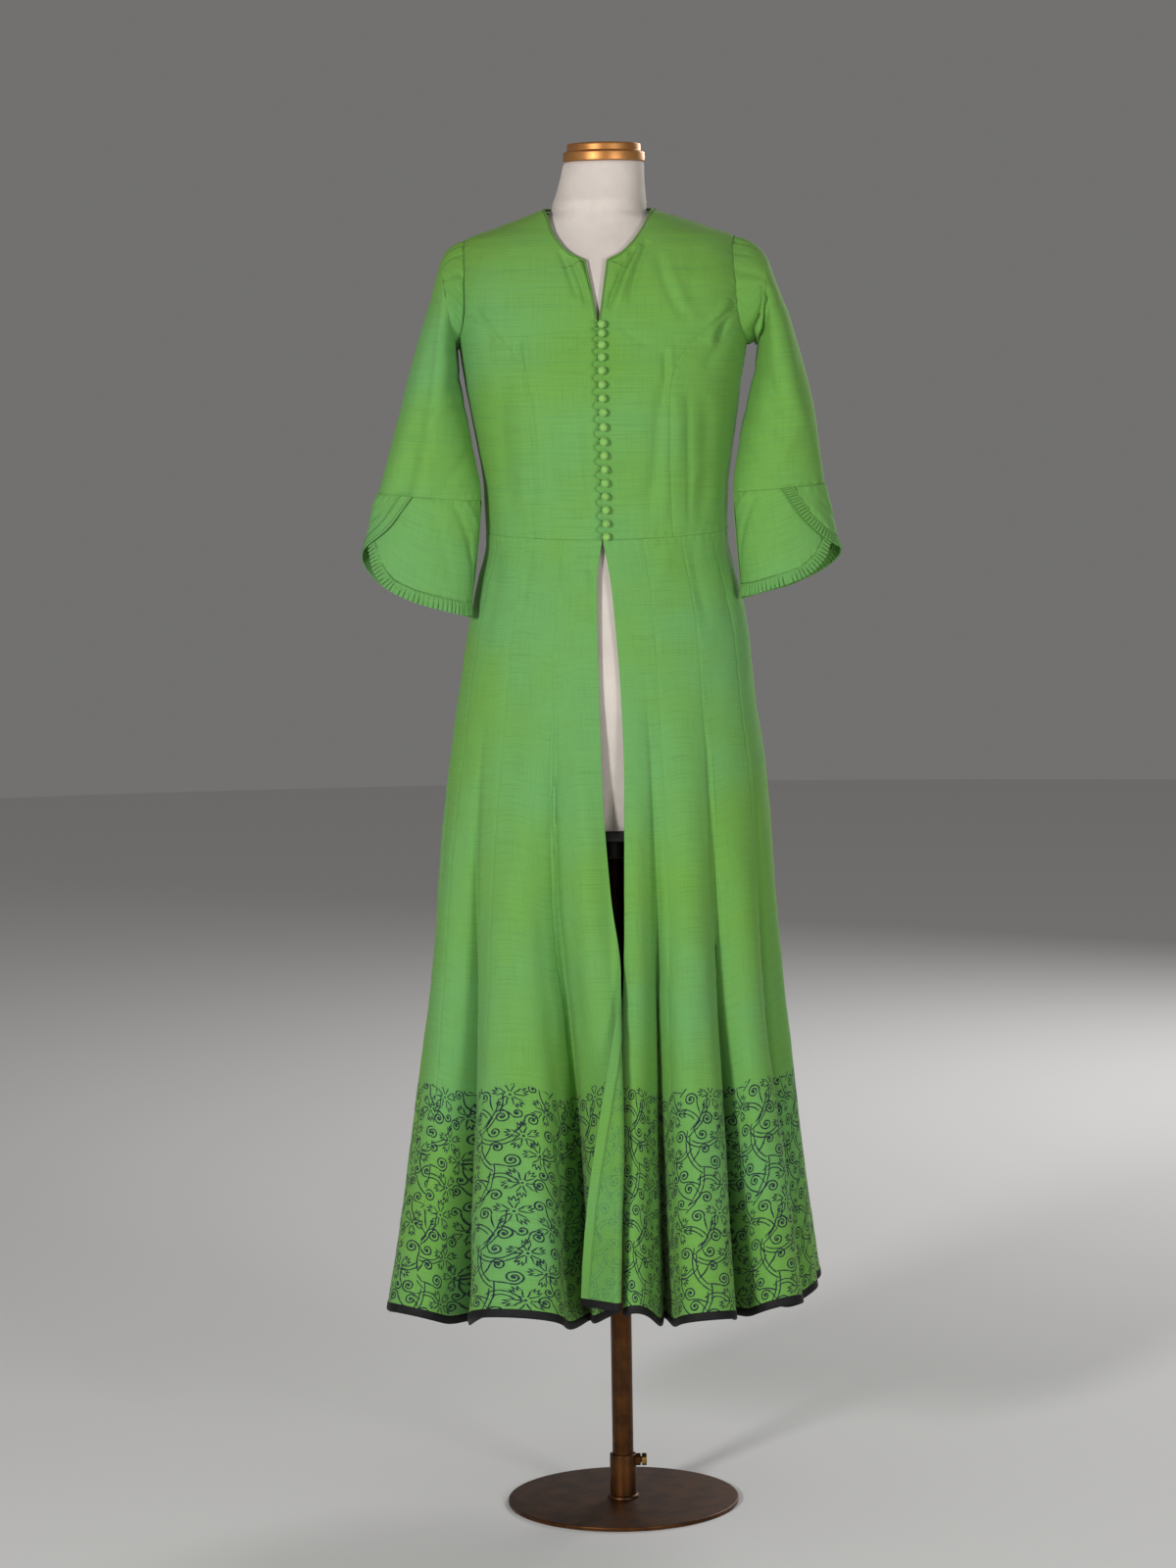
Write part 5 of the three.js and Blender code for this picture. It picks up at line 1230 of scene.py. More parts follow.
class Petal:
    def __init__(self, side, word):
        row = petals[word]
        self.side, self.row = side, row
        self.start = row["start"][side]
        self.direction = 1 if row["end"] > self.start else -1
        turned = np.linspace(0, abs(row["end"] - self.start), 801)
        edge = [{"turn": degrees, "drop": drop} for degrees, drop in petalEdges[(side, word)]]
        drop = smoothCurve(edge, "turn", "drop")(turned)
        self.flat = np.stack([turned * cuff["arc"], drop * cuff["length"]], -1)
        step = np.linalg.norm(np.diff(self.flat, axis=0), axis=1)
        self.lengths = np.concatenate([[0], np.cumsum(step)])
        self.whole = self.lengths[-1]
        self.tangent = unit(np.gradient(self.flat, axis=0))
        self.limit = self.flat[-1, 0] - 0.2

    def inset(self, length, distance):
        at = lambda column: np.interp(length, self.lengths, column)
        alongX, alongY = at(self.tangent[:, 0]), at(self.tangent[:, 1])
        across = at(self.flat[:, 0]) + alongY * distance
        down = at(self.flat[:, 1]) - alongX * distance
        return np.minimum(across, self.limit), np.maximum(down, 0)

    def turnOf(self, across):
        return np.radians(self.start + self.direction * across / cuff["arc"])

    def place(self, across, down):
        turn = self.turnOf(across)
        share = np.clip(down / cuff["length"], 0, 1)
        faded = np.clip((across / cuff["arc"] - 105) / 55, 0, 1)
        apart = 1 - self.row["fade"] * faded * faded * (3 - 2 * faded)
        lift = (self.row["top"] + (self.row["bottom"] - self.row["top"]) * share) * apart
        station = cuff["station"] + share
        normal = sleeveNormalAt(self.side, turn, np.minimum(station, 7.99))
        return sleeveAt(self.side, turn, station) + normal * lift[..., None], normal

    def creaseHeight(self, across, down, table):
        turn = np.degrees(self.turnOf(across)) * cuff["arc"]
        total = np.zeros(np.shape(across))
        for fromTurn, fromDown, toTurn, toDown, wide, height in table:
            start = np.array([fromTurn * cuff["arc"], fromDown])
            along = np.array([toTurn * cuff["arc"], toDown]) - start
            length = np.hypot(*along)
            along = along / length
            t = ((turn - start[0]) * along[0] + (down - start[1]) * along[1]) / length
            off = -(turn - start[0]) * along[1] + (down - start[1]) * along[0]
            total += height * creaseShape(t, off, length, wide)
        return total


def ordered(petal, grid):
    return grid if petal.direction * petal.side < 0 else grid[::-1]


# One knife pleat: how far along it, and how high it stands there
pleatShape = [(0, 0.05), (0.3, 0.6), (0.6, 0.9), (0.8, 1.0), (0.88, 0.75), (0.93, 0.12)]
trim = {"depths": [12.6, 11.6, 11, 8.5, 5.5, 2.6, 0.7, 0], "flare": 2.3, "thick": 0.7, "bandSteps": 190}


def pleatRise(petal, seed):
    # places along a strip of uneven pleats, and how high each stands there
    rng = np.random.default_rng(seed)
    pleats = int(round(petal.whole / cuff["pitch"]))
    at, rise = [], []
    for k in range(pleats):
        tall, shift = rng.uniform(0.75, 1.2), rng.uniform(-0.08, 0.08)
        for share, value in pleatShape:
            at.append((k + share + shift * math.sin(math.pi * share)) / pleats)
            rise.append(value * tall)
    return np.array(at + [1.0]), np.array(rise + [0.15])


def bandRise():
    # the one petal whose edge is a flat band
    at = np.linspace(0, 1, trim["bandSteps"])
    return at, 0.12 + 0.05 * np.sin(at * 61) + 0.04 * np.sin(at * 143)


def trimGrid(petal, at, rise, banded):
    depths = np.array(trim["depths"])
    opened = np.clip((cuff["trim"] - depths) / cuff["trim"], 0, 1) ** 0.5
    rows = []
    for depth, amount in zip(depths, opened):
        across, down = petal.inset(petal.whole * at, depth)
        place, normal = petal.place(across, np.maximum(down, 0.3))
        flare = trim["flare"] * rise * amount + (0.55 if banded else 0.15 + 0.3 * amount)
        rows.append(place + normal * flare[:, None])
    return ordered(petal, np.stack(rows[::-1], 1))


def stitchLine(petal, depth, first, last, lift):
    across, down = petal.inset(petal.whole * np.linspace(first, last, 260), depth)
    place, normal = petal.place(across, np.maximum(down, 0.5))
    return place + normal * lift


bandStitches = []
for side, sideWord in ((-1, "left"), (1, "right")):
    for word in ("front", "back"):
        petal = Petal(side, word)
        name = f"kurti_cuff_{sideWord}_{word}"
        banded = side == -1 and word == "back"
        length = petal.whole * spread(150, 0.003)
        across, down = petal.inset(length, cuff["trim"])
        down = np.maximum(down, cuff["shortest"])
        rows = spread(30, 0.02)
        across, down = np.repeat(across[:, None], len(rows), 1), down[:, None] * (1 - rows)
        plain, normal = petal.place(across, down)
        height = petal.creaseHeight(across, down, petalCreases[(side, word)])
        grid = ordered(petal, softened(plain + normal * height[..., None], 48, 0.45, 9))
        clothPiece(name, ordered(petal, plain), seamed(grid, ["bottom", "top"], 60 + side), plainPair,
                   f"cuff_{sideWord}_{word}", "hung", [f"kurti_sleeve_{sideWord}"])

        at, rise = bandRise() if banded else pleatRise(petal, 70 + 3 * side + len(word))
        grid = trimGrid(petal, at, rise, banded)
        rows = [(cuff["trim"] + 1.4, 0.01, 0.98, 0.62)]
        if banded:
            rows = [(2.2, 0.015, 0.97, 1.28), (cuff["trim"] - 1.4, 0.015, 0.97, 1.28)]
        for row in rows:
            bandStitches.append(stitchLine(petal, *row))
        width, tall, area = clothSize(grid)
        piece = shell(name + "_trim", grid, clothUv(grid), [trimCloth], trim["thick"])
        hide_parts(f"cuff_{sideWord}_{word}_pleats")
        sheets.append((piece, width, tall, area, "hung" if banded else "gathered", [name]))
print("cuffs made")


# The skirt: gores counted from the right front edge (0) round the back to the left one (16)

flutes = tableOf(
    "start end out bulge lean top lift",
    (-0.45, 0.75, 60, 4, 0, 900, 34), (0.75, 2.05, 78, 14, -6, 860, 22), (2.05, 3.15, 52, 12, 4, 760, 20),
    (3.15, 4.4, 24, 6, 0, 820, 16), (4.4, 5.65, 46, 12, 0, 880, 10), (5.65, 6.8, 62, 14, 8, 840, 14),
    (6.8, 8.1, 50, 10, -6, 900, 10), (8.1, 9.2, 64, 14, 4, 830, 14), (9.2, 10.4, 52, 12, -8, 870, 10),
    (10.4, 11.3, 40, 8, 0, 850, 8), (11.3, 12.3, 26, 6, 0, 800, 0), (12.3, 13.5, 46, 12, 4, 840, 18),
    (13.5, 15.05, 86, 22, 16, 850, 34), (15.05, 16.3, 75, 4, 0, 900, 40),
)
frontEdges = tableOf(
    "z left right turned roll",
    (200, 6, 9, 74, 5), (430, 5, 8, 48, 6), (609, -3, 10, 25, 8), (660, -8, 12, 17, 10),
    (748, -10, 13, 5, 12), (874, -13, 13.5, 0, 14), (990, -14.5, 9.6, 0, 14), (1050, -15.4, 5.4, 0, 14),
    (1100, -15, 1, 0, 14), (1151, -8.4, -7.6, 0, 14),
)
skirt = {
    "topWidth": 45.5, "hemWidth": 144, "rise": 110, "bend": 1.5,
    "valley": 60, "valleyWide": 0.42, "valleyPower": 1.7, "firstValley": 0.3,
    "lastValley": 15.4, "edgeReach": 0.9, "uneven": 1.1, "rollTurn": math.radians(172),
}
goreCount = garment["goreCount"]
fluteEnds = np.array([row["end"] for row in flutes])
fluteColumns = {key: np.array([row[key] for row in flutes], float) for key in flutes[0]}
edgeCurves = {key: smoothCurve(frontEdges, "z", key) for key in ("left", "right", "turned", "roll")}
waistRing = garmentRing(garment["waistZ"])
waistAngles = np.linspace(0, 2 * math.pi, 721)
waistSides, waistDepths = onRing(waistRing, waistAngles)
waistLengths = np.concatenate([[0], np.cumsum(np.hypot(np.diff(waistSides), np.diff(waistDepths)))])


def goreAngle(gore):
    length = np.asarray(gore, float) / goreCount * waistLengths[-1]
    inside = np.interp(length, waistLengths, waistAngles)
    past = np.minimum(length, 0) + np.maximum(length - waistLengths[-1], 0)
    return inside + past / waistRing["front"]


def goreWidth(z):
    share = np.clip((garment["waistZ"] - z) / (garment["waistZ"] - garment["hemFrontZ"]), 0, 1)
    return skirt["topWidth"] + (skirt["hemWidth"] - skirt["topWidth"]) * share


def foldAt(z):
    return goreCount - edgeCurves["turned"](z) / goreWidth(z)


def fluteOf(gore):
    i = np.minimum(np.searchsorted(fluteEnds, gore, side="right"), len(flutes) - 1)
    flute = {key: column[i] for key, column in fluteColumns.items()}
    return flute, 2 * math.pi * (gore - flute["start"]) / (flute["end"] - flute["start"])


def ringPlace(ring, angle, z):
    return placed(ring, *onRing(ring, angle), z)


def outwardOf(ahead):
    return np.stack([ahead[..., 1], -ahead[..., 0], np.zeros(ahead.shape[:-1])], -1)


def skirtPlan(gore, z):
    fold, quarter = foldAt(z), 3 * goreCount / 4
    squeeze = (goreCount - quarter) / (fold - quarter)
    ringGore = np.where(gore > quarter, quarter + (gore - quarter) * squeeze, gore)
    ring, angle = garmentRing(z), goreAngle(ringGore)
    here = ringPlace(ring, angle, z)
    ahead = unit(ringPlace(ring, angle + 0.01, z) - ringPlace(ring, angle - 0.01, z))
    flute, phase = fluteOf(gore)
    crest = (1 - np.cos(phase)) / 2
    top = flute["top"] + skirt["rise"]
    depth = np.clip((top - z) / (top - garment["hemFrontZ"]), 0, 1.1) ** skirt["bend"]
    along = depth * (flute["lean"] * crest - 1.5 * flute["bulge"] * np.sin(phase) * crest)
    fromValley = np.mod(phase + math.pi, 2 * math.pi) - math.pi
    valley = np.exp(-np.abs(fromValley / skirt["valleyWide"]) ** skirt["valleyPower"])
    valley = skirt["valley"] * np.clip(depth, 0, 1) * valley
    out = depth * flute["out"] * crest - valley * (gore > skirt["firstValley"]) * (gore < skirt["lastValley"])
    here = here + outwardOf(ahead) * out[..., None] + ahead * along[..., None]
    centre = ring["mid"] - ring["front"] * math.sin(math.radians(-garment["formTurn"]))
    toFold = fold - np.minimum(gore, fold)
    here[..., 0] += (edgeCurves["right"](z) - centre) * np.exp(-gore / skirt["edgeReach"])
    here[..., 0] += (edgeCurves["left"](z) - centre) * np.exp(-toFold / skirt["edgeReach"])
    return here


def skirtLevel(gore, z):
    fold = foldAt(z)
    plain = skirtPlan(np.minimum(gore, fold), z)
    ahead = plain - skirtPlan(np.minimum(gore, fold) - 0.02, z)
    ahead[..., 2] = 0
    ahead = unit(ahead)
    roll = edgeCurves["roll"](z)
    length = np.maximum(gore - fold, 0) * goreWidth(z)
    turn = np.minimum(length / roll, skirt["rollTurn"])
    past = np.maximum(length - roll * skirt["rollTurn"], 0)
    forward = roll * np.sin(turn) + past * np.cos(turn)
    out = roll * (1 - np.cos(turn)) + past * np.sin(turn)
    rolled = plain + ahead * forward[..., None] + outwardOf(ahead) * out[..., None]
    return np.where((gore > fold)[..., None], rolled, skirtPlan(gore, z))


def hemAt(gore):
    flute, phase = fluteOf(gore)
    lastStart = flutes[-1]["start"]
    crest = np.where(gore > lastStart, np.clip((gore - lastStart) / 0.5, 0, 1), (1 - np.cos(phase)) / 2)
    toRight = np.maximum(0, np.sin(goreAngle(np.clip(gore, 0, goreCount))))
    return garment["hemFrontZ"] + flute["lift"] * crest + garment["hemSideRise"] * toRight


def skirtAt(gore, share):
    gore, share = np.broadcast_arrays(np.asarray(gore, float), np.asarray(share, float))
    top = waistAt(goreAngle(np.clip(gore, 0, goreCount)))
    return skirtLevel(gore, top + (hemAt(gore) - top) * share)


skirtLength = garment["waistZ"] - garment["hemFrontZ"]
bindingShare = garment["bindingHeight"] / skirtLength
skirtCreases = tableOf(
    "fromX fromZ toX toZ wide height bow",
    (60, 1144, 12.5, 1078, 6, -1.9, 4), (70, 1138, 30, 1070, 8, 1.5, 5),
    (-58, 1143, -30, 1092, 6, -1.3, -3), (-92, 1146, -104, 1062, 5, -1.4, 2),
    (96, 1146, 112, 1050, 6, -1.5, -3), (-26, 1140, -22, 1040, 6, -1.1, 2),
    (-130, 1140, -146, 1040, 8, -1.6, 3), (131, 1142, 142, 1046, 8, -1.6, -3),
    (-112, 1010, -150, 700, 14, -2.6, 8), (-58, 960, -74, 640, 15, -3.2, -9),
    (-38, 900, -34, 560, 12, 2.4, 6), (46, 980, 62, 640, 14, -3.0, 8), (30, 860, 36, 520, 12, 2.2, -6),
    (112, 980, 136, 660, 14, -2.6, -8), (-150, 640, -182, 300, 13, 2.6, 7),
    (-96, 560, -120, 262, 10, -2.4, -6), (92, 600, 112, 280, 11, -2.4, 6),
    (150, 620, 178, 310, 12, 2.4, -6), (60, 520, 66, 270, 8, 1.8, 4),
)
printedPair = [kurtiPrinted, kurtiPrintedBack]


def goreColumnsOf(number):
    # the last gore has more columns where its edge rolls over
    columns = spread(27)
    if number == goreCount - 1:
        columns = np.concatenate([spread(28)[:-4] * 0.5, np.linspace(0.5, 1, 56)])
    return np.unique(np.round(columns, 5))


for number in range(goreCount):
    t = goreColumnsOf(number)
    behind = 4 <= number <= 11
    shares = (1 - bindingShare) * (1 - spread(112, 0.003))
    gore = number + t[:, None]
    plain = skirtAt(gore, shares[None, :])
    edges = ["top"] + ([] if number == 0 else ["first"]) + ([] if number == goreCount - 1 else ["last"])
    relief = relaxed(plain, [] if behind else skirtCreases, height=skirt["uneven"])
    grid = seamed(relief, edges, 100 + number)
    z = plain[..., 2]
    u = gore * skirt["hemWidth"] + (t[:, None] - 0.5) * (goreWidth(z) - skirt["hemWidth"])
    v = (1 - shares[None, :]) * skirtLength + 0 * z
    clothPiece(f"kurti_skirt_gore_{number + 1}", plain, grid, printedPair, f"skirt_gore_{number + 1}",
               "hung", ["kurti_bodice_back" if behind else "form_cover"],
               uv=np.stack([u, v], -1))
print("skirt made")


def onSkirt(gore, share, lift):
    # places off the skirt's right side, or off its wrong side where lift is below 0
    here = skirtAt(gore, share)
    across = skirtAt(gore + 0.004, share) - skirtAt(gore - 0.004, share)
    up = skirtAt(gore, share - 0.004) - skirtAt(gore, share + 0.004)
    normal = unit(np.cross(across, up))
    return here + normal * (unevenness(here, skirt["uneven"]) + lift)[..., None]


facing = {"wide": 13.2, "lift": -0.95, "thick": 0.7, "stitchIn": 1.6, "stitchLift": -1.42}
facingStitches = []
for word, number in (("right", 0), ("left", goreCount - 1)):
    shares = (1 - bindingShare) * (1 - spread(150, 0.002))
    z = garment["waistZ"] + (hemAt(number + (0.0 if number == 0 else 1.0)) - garment["waistZ"]) * shares
    t = np.array([0.02, 0.1, 0.3, 0.5, 0.7, 0.9, 0.98])[:, None] * facing["wide"] / goreWidth(z)[None, :]
    gore = t if number == 0 else number + 1 - t[::-1]
    grid = onSkirt(gore, shares[None, :], facing["lift"])
    down = edgeDistances(grid)["bottom"]
    ripple = 0.16 * np.sin(down / 7.3) + 0.1 * np.sin(down / 3.1)
    grid = grid + gridNormals(grid) * ripple[..., None]
    clothPiece(f"kurti_front_facing_{word}", grid, grid, [trimCloth], f"front_facing_{word}",
               "hung", [f"kurti_skirt_gore_{number + 1}"], facing["thick"])
    line = (facing["wide"] - facing["stitchIn"]) / goreWidth(z)
    place = line if number == 0 else number + 1 - line
    facingStitches.append(onSkirt(place[None, :], shares[None, :], facing["stitchLift"])[0][2:-4])


bindingRows = tableOf(
    "up thick",
    (0, 0.5), (0.03, 1.2), (0.1, 1.9), (0.25, 2.3), (0.5, 2.3), (0.75, 2.2), (0.93, 2.0), (1.0, 1.5),
)


def bindingGrid():
    columns = [number + goreColumnsOf(number) for number in range(goreCount)]
    gore = np.unique(np.concatenate(columns))
    rows = np.array([row["up"] for row in bindingRows])
    share = 1 - bindingShare * rows[None, :] + 0 * gore[:, None]
    grid = onSkirt(gore[:, None], share, 0.0)
    along = edgeDistances(grid)["first"][:, 4]
    near = np.clip(1 - np.minimum(along, along[-1] - along) / 5, 0, 1)
    share = share - (4.2 * (1 - np.sqrt(1 - near ** 2)) / skirtLength)[:, None] * (1 - rows[None, :])
    plain = onSkirt(gore[:, None], share, 0.0)
    rng = np.random.default_rng(5)
    wave = np.interp(along, np.linspace(0, along[-1], 150), rng.normal(0, 0.12, 150))
    grid = plain + gridNormals(plain) * wave[:, None, None]
    thick = np.array([row["thick"] for row in bindingRows])[None, :] * np.ones((len(gore), 1))
    return plain, grid, thick


plain, grid, thick = bindingGrid()
clothPiece("kurti_hem_binding", plain, grid, [bindingCloth], "hem_binding", "hung",
           ["kurti_skirt_gore_8"], thick)

facingPiece = repeated("kurti_facing_stitches", stitchGroup, facingStitches, stitch, threadGreen,
                       3.1)
bandPiece = repeated("kurti_cuff_stitches", stitchGroup, bandStitches, stitch, threadGreen,
                     2.9, seed=2)
print("hem, facings and stitches made")


# The dress form and its stand

stand = {
    "plateRadius": 137.5, "plateThick": 5, "collarOuter": 15.8, "collarBore": 12.9, "collarTop": 57.5,
    "poleRadius": 12.5, "poleTop": 794, "screwZ": 50, "formFootZ": 815, "boardThick": 12, "formTopZ": 1585,
    "capRadius": 47.2, "capTier": 40, "capBandTop": 1596, "capTop": 1607, "hubFoot": 777, "hubRadius": 42,
    "boltHead": 13, "boltHeadThick": 6, "nutThick": 6.5, "weld": 19,
}
formSections = tableOf(
    "z mid left right front back square",
    (815, -3, 150, 150, 97, 98, 2.2), (870, -3, 157, 157, 102, 112, 2.2),
    (950, -3, 157, 157, 104, 117, 2.2), (1050, -3, 146, 146, 97, 101, 2.2),
    (1100, -3, 139, 139, 89, 90, 2.2), (1146, -3, 133, 133, 85, 82, 2.2),
)
neckSections = [(1539, -5.5, 54), (1550, -4, 51.5), (1568, -2, 48.5), (1585, 0, 46.6)]
formRing = ringOf(formSections)
form = {
    "hipHeights": (815, 850, 900, 960, 1020, 1070, 1115), "gap": 6.3, "neckGap": 6.8, "neckFrom": 1515,
    "chestHeights": (1160, 1210, 1255, 1295, 1335, 1375, 1415, 1450, 1475, 1491, 1503, 1515, 1524, 1531),
    "seams": (0, 0.62, -0.62, math.pi / 2, -math.pi / 2, math.pi, 2.45, -2.45),
    "seamDeep": 0.5, "seamWide": 1.6,
}


def formPart():
    angle = np.linspace(0, 2 * math.pi, 96, endpoint=False)
    rings = []
    for z in form["hipHeights"]:
        rings.append(ringPlace(formRing(z), angle, np.full(len(angle), float(z))))
    for z in form["chestHeights"]:
        here = bodyAt(angle, float(z))
        across = bodyAt(angle + 0.01, float(z)) - bodyAt(angle - 0.01, float(z))
        up = bodyAt(angle, z + 1.0) - bodyAt(angle, z - 1.0)
        gap = form["neckGap"] if z > form["neckFrom"] else form["gap"]
        rings.append(here - unit(np.cross(across, up)) * gap)
    for z, mid, radius in neckSections:
        turn = angle + math.radians(garment["formTurn"])
        height = np.full(len(angle), float(z))
        rings.append(np.stack([mid + radius * np.sin(turn), -radius * np.cos(turn), height], -1))
    rings = np.array(rings)
    tangent = np.gradient(rings, axis=0)
    fine = []
    for i in range(len(rings) - 1):
        for t in np.linspace(0, 1, 5)[:-1]:
            rest = 1 - t
            fine.append((1 + 2 * t) * rest ** 2 * rings[i] + t * rest ** 2 * tangent[i]
                        + t * t * (3 - 2 * t) * rings[i + 1] - t * t * rest * tangent[i + 1])
    fine = np.array(fine + [rings[-1]])
    grid = fine.transpose(1, 0, 2)
    normals = gridNormals(grid, True)
    groove = np.zeros(len(angle))
    for seam in form["seams"]:
        off = (angle - seam + math.pi) % (2 * math.pi) - math.pi
        groove -= form["seamDeep"] * np.exp(-(off * 120 / form["seamWide"]) ** 2)
    return softened(grid + normals * groove[:, None, None], 90, 0.25, 5, True)


def closedRings(rings, foot, head):
    # a solid round its rings, closed at the middle of its foot and its head
    count, sides = rings.shape[:2]
    index, faces = ringFaces(count, sides)
    for k in range(sides):
        faces.append([count * sides, int(index[0, k + 1]), int(index[0, k])])
        faces.append([count * sides + 1, int(index[-1, k]), int(index[-1, k + 1])])
    return np.concatenate([rings.reshape(-1, 3), [foot, head]]), faces


def turnedRings(profile, sides):
    turn = np.linspace(0, 2 * math.pi, sides, endpoint=False)
    return np.stack([profile[:, :1] * np.cos(turn), profile[:, :1] * np.sin(turn),
                     np.repeat(profile[:, 1:], sides, 1)], -1)


def closedTube(grid, edgeRound=2.5):
    # a wrapped grid with a flat foot and head, whose edges are rounded
    foot, head = grid[:, 0].mean(0), grid[:, -1].mean(0)
    pull = lambda ring, centre, by: ring + unit(centre - ring) * by
    rows = [grid[:, 0] * 1, grid[:, -1] * 1]
    low = [pull(rows[0], foot, by) for by in (edgeRound + 6, edgeRound, edgeRound * 0.3)]
    high = [pull(rows[1], head, by) for by in (edgeRound * 0.3, edgeRound, edgeRound + 6)]
    low[2][:, 2] += edgeRound * 0.25
    high[0][:, 2] -= edgeRound * 0.25
    middle = grid[:, 1:-1]
    return closedRings(np.stack([*low, *middle.transpose(1, 0, 2), *high]), foot, head)


formPoints, formFaces = closedTube(formPart())
cover = newPiece("form_cover", formPoints, formFaces, [formCloth], "form")
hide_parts("dress_form")


def turnedShape(profile, sides):
    # points and faces of a solid turned about the upright axis; its profile starts and ends on it
    profile = np.asarray(profile, float)
    return closedRings(turnedRings(profile[1:-1], sides), [0, 0, profile[0, 1]], [0, 0, profile[-1, 1]])


def loopShape(profile, sides):
    # a ring turned about the upright axis from a closed profile
    rings = turnedRings(np.asarray(profile, float), sides)
    return rings.reshape(-1, 3), ringFaces(len(profile), sides, True)[1]


def alongX(shape, z):
    # lays a turned shape on its side, pointing to +X, at a height
    points, faces = shape
    return np.stack([points[:, 2], points[:, 1], z - points[:, 0]], -1), faces


def mergedShapes(shapes):
    points, faces, start = [], [], 0
    for shapePoints, shapeFaces in shapes:
        points.append(shapePoints)
        faces += [[corner + start for corner in face] for face in shapeFaces]
        start += len(shapePoints)
    return np.concatenate(points), faces


def hardPiece(name, shapes, material, body, node, angle=35):
    points, faces = mergedShapes(shapes)
    piece = newPiece(name, points, faces, [material], body)
    piece.data.set_sharp_from_angle(angle=math.radians(angle))
    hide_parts(node)
    return piece


capFoot = stand["formTopZ"] + 0.3
hardPiece("neck_cap_gilt", [turnedShape(roundedProfile([
    (0, capFoot, 0), (stand["capRadius"] - 0.6, capFoot, 0), (stand["capRadius"], capFoot + 0.8, 0.3),
    (stand["capRadius"] + 0.1, 1590, 0.5), (stand["capRadius"], stand["capBandTop"], 1.4),
    (stand["capTier"] + 2.8, stand["capBandTop"] + 1.2, 1.0),
    (stand["capTier"] + 2.7, stand["capTop"] - 1.2, 2.2),
    (stand["capTier"] - 6, stand["capTop"] - 0.2, 1.5), (0, stand["capTop"], 0)]), 96)],
    capGold, "form", "neck_cap")

boardRing = formRing(stand["formFootZ"])
boardAngles = np.linspace(0, 2 * math.pi, 96, endpoint=False)
slim = {key: value - (0 if key in ("mid", "square") else 2) for key, value in boardRing.items()}
boardTop = stand["formFootZ"] - 0.3
boardGrid = np.stack([ringPlace(slim, boardAngles, np.full(96, z))
                      for z in np.linspace(boardTop - stand["boardThick"], boardTop, 7)], 1)
hubBore, hubCeiling, hubTop = stand["poleRadius"] + 0.3, stand["poleTop"] + 0.3, 803.4
hub = turnedShape(roundedProfile([
    (0, hubCeiling, 0), (hubBore, hubCeiling, 0.3), (hubBore, stand["hubFoot"], 0.5),
    (stand["hubRadius"], stand["hubFoot"], 2.2), (stand["hubRadius"], hubTop, 0.2), (0, hubTop, 0)]), 72)
hardPiece("form_board_and_hub", [closedTube(boardGrid, 1.8), hub], boardLacquer, "form", "form_board")

collarFoot = stand["plateThick"] + 0.3
hardPiece("stand_pole", [turnedShape(roundedProfile([
    (0, collarFoot, 0), (stand["poleRadius"], collarFoot, 0.8), (stand["poleRadius"], stand["poleTop"], 0.8),
    (0, stand["poleTop"], 0)]), 64)], bronzePaint, "upright", "pole")
hardPiece("stand_base_plate", [turnedShape(roundedProfile([
    (0, 0, 0), (stand["plateRadius"], 0, 1.0), (stand["plateRadius"], stand["plateThick"], 1.4),
    (0, stand["plateThick"], 0)]), 160)], bronzePaint, "stand_base", "base_plate")

bead = [(stand["weld"] - 3.4, collarFoot)]
bead += [(stand["collarOuter"] - 0.2 + 3.4 * math.cos(a), collarFoot + 3.9 * math.sin(a))
         for a in np.linspace(0, math.pi / 2, 7)]
tubeLoop = roundedProfile([
    (stand["collarOuter"], collarFoot, 0), (stand["collarOuter"], stand["collarTop"], 0.9),
    (stand["collarBore"], stand["collarTop"], 0.6), (stand["collarBore"], collarFoot, 0)])
nutStart = stand["collarOuter"] - 1.2
hexRadius = stand["boltHead"] / math.sqrt(3)
nutEnd = nutStart + stand["nutThick"]
nut = loopShape([
    (4.35, nutStart), (hexRadius, nutStart), (hexRadius, nutEnd - 0.6), (hexRadius - 0.9, nutEnd),
    (4.9, nutEnd), (4.35, nutEnd - 0.5)], 6)
hardPiece("stand_collar", [loopShape(tubeLoop, 64), loopShape(bead, 64), alongX(nut, stand["screwZ"])],
          bronzePaint, "stand_base", "collar")

headStart = nutEnd + 1.2
headEnd = headStart + stand["boltHeadThick"]
shankStart = stand["poleRadius"] + 0.3
thread = [(0, shankStart), (3.4, shankStart)]
for k in range(9):
    thread += [(4.0, shankStart + 0.5 + k), (3.45, shankStart + 1.0 + k)]
thread += [(3.6, headStart + 0.5), (0, headStart + 0.5)]
head = turnedShape([
    (0, headStart), (hexRadius - 0.7, headStart), (hexRadius, headStart + 0.5), (hexRadius, headEnd - 0.8),
    (hexRadius - 1.1, headEnd), (0, headEnd)], 6)
hardPiece("set_bolt_brass", [alongX(turnedShape(thread, 24), stand["screwZ"]), alongX(head, stand["screwZ"])],
          boltBrass, "lock_screw", "set_bolt", 20)
print("form and stand made")


# Cloth sheets, as they were cut: their sizes are only read here, and nothing is made from them

for piece, width, length, area, held, rests in sheets:
    min(area, width * length)


# Floor, light and camera

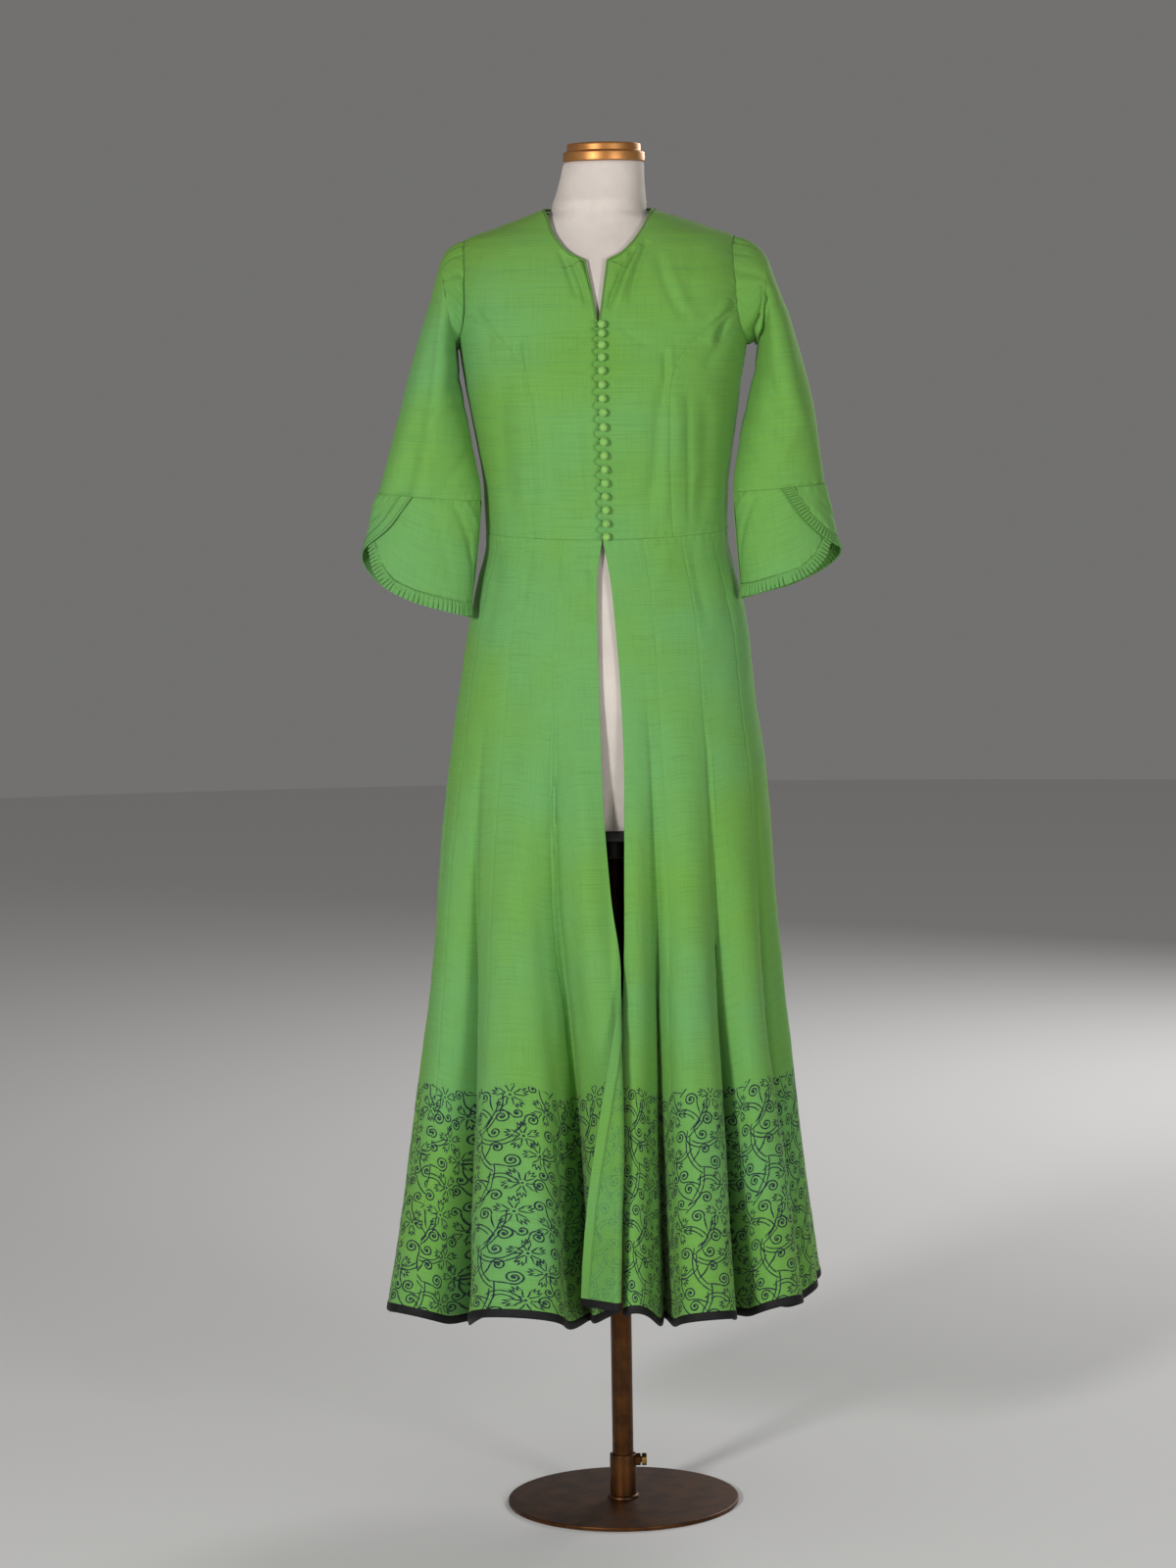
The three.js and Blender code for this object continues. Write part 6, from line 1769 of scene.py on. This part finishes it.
floorLook = {"Base Color": (0.8, 0.79, 0.78, 1), "Roughness": 0.8}
floorMaterial = newMaterial("studio_floor", lambda start: floorLook)
floorRadius, floorSides = 9, 96
floorMesh = bpy.data.meshes.new("floor")
floorTurn = np.linspace(0, 2 * math.pi, floorSides, endpoint=False)
floorPoints = [(floorRadius * math.cos(a), floorRadius * math.sin(a), 0) for a in floorTurn]
floorMesh.from_pydata(floorPoints, [], [list(range(floorSides))])
floorMesh.materials.append(floorMaterial)
floor = bpy.data.objects.new("floor", floorMesh)
bpy.context.scene.collection.objects.link(floor)

world = bpy.data.worlds.new("studio")
world.use_nodes = True
background = world.node_tree.nodes["Background"].inputs
background["Color"].default_value = (0.62, 0.61, 0.6, 1)
background["Strength"].default_value = 0.27
bpy.context.scene.world = world


def softLight(name, place, aim, size, power):
    data = bpy.data.lights.new(name, "AREA")
    data.shape, data.size, data.energy = "DISK", size, power
    lamp = bpy.data.objects.new(name, data)
    lamp.location = place
    lamp.rotation_mode = "QUATERNION"
    lamp.rotation_quaternion = (Vector(place) - Vector(aim)).to_track_quat("Z", "Y")
    bpy.context.scene.collection.objects.link(lamp)


lights = tableOf(
    "name place aim size power",
    ("key", (-2.3, -3.9, 1.8), (0, 0, 0.8), 0.7, 122), ("fill", (2.4, -3.9, 1.4), (0, 0, 0.8), 1.2, 60),
    ("back", (2.0, 3.4, 2.4), (0, 0, 0.9), 2.0, 70),
)
for row in lights:
    softLight(**row)

# The camera of the photograph, whose lens and shift are in its pixels
photo = {
    "height": 1600, "focal": 4222, "shift": -25.6, "tilt": 5.5, "roll": 0.852, "place": (0, -4.843, 1.327),
}
tilt, roll = math.radians(photo["tilt"]), math.radians(photo["roll"])
right = Vector((1, 0, 0))
down = Vector((0, -math.sin(tilt), -math.cos(tilt)))
imageX = right * math.cos(roll) + down * math.sin(roll)
imageDown = down * math.cos(roll) - right * math.sin(roll)
back = imageX.cross(-imageDown)
camera = bpy.data.objects.new("camera", bpy.data.cameras.new("camera"))
camera.data.sensor_fit = "VERTICAL"
camera.data.sensor_height = 36
camera.data.lens = photo["focal"] / photo["height"] * camera.data.sensor_height
camera.data.shift_x = photo["shift"] / photo["height"]
turn = Matrix((imageX, -imageDown, back)).transposed().to_4x4()
camera.matrix_world = Matrix.Translation(photo["place"]) @ turn
bpy.context.scene.collection.objects.link(camera)
bpy.context.scene.camera = camera
bpy.context.scene.view_settings.view_transform = "Standard"

print("stage made")
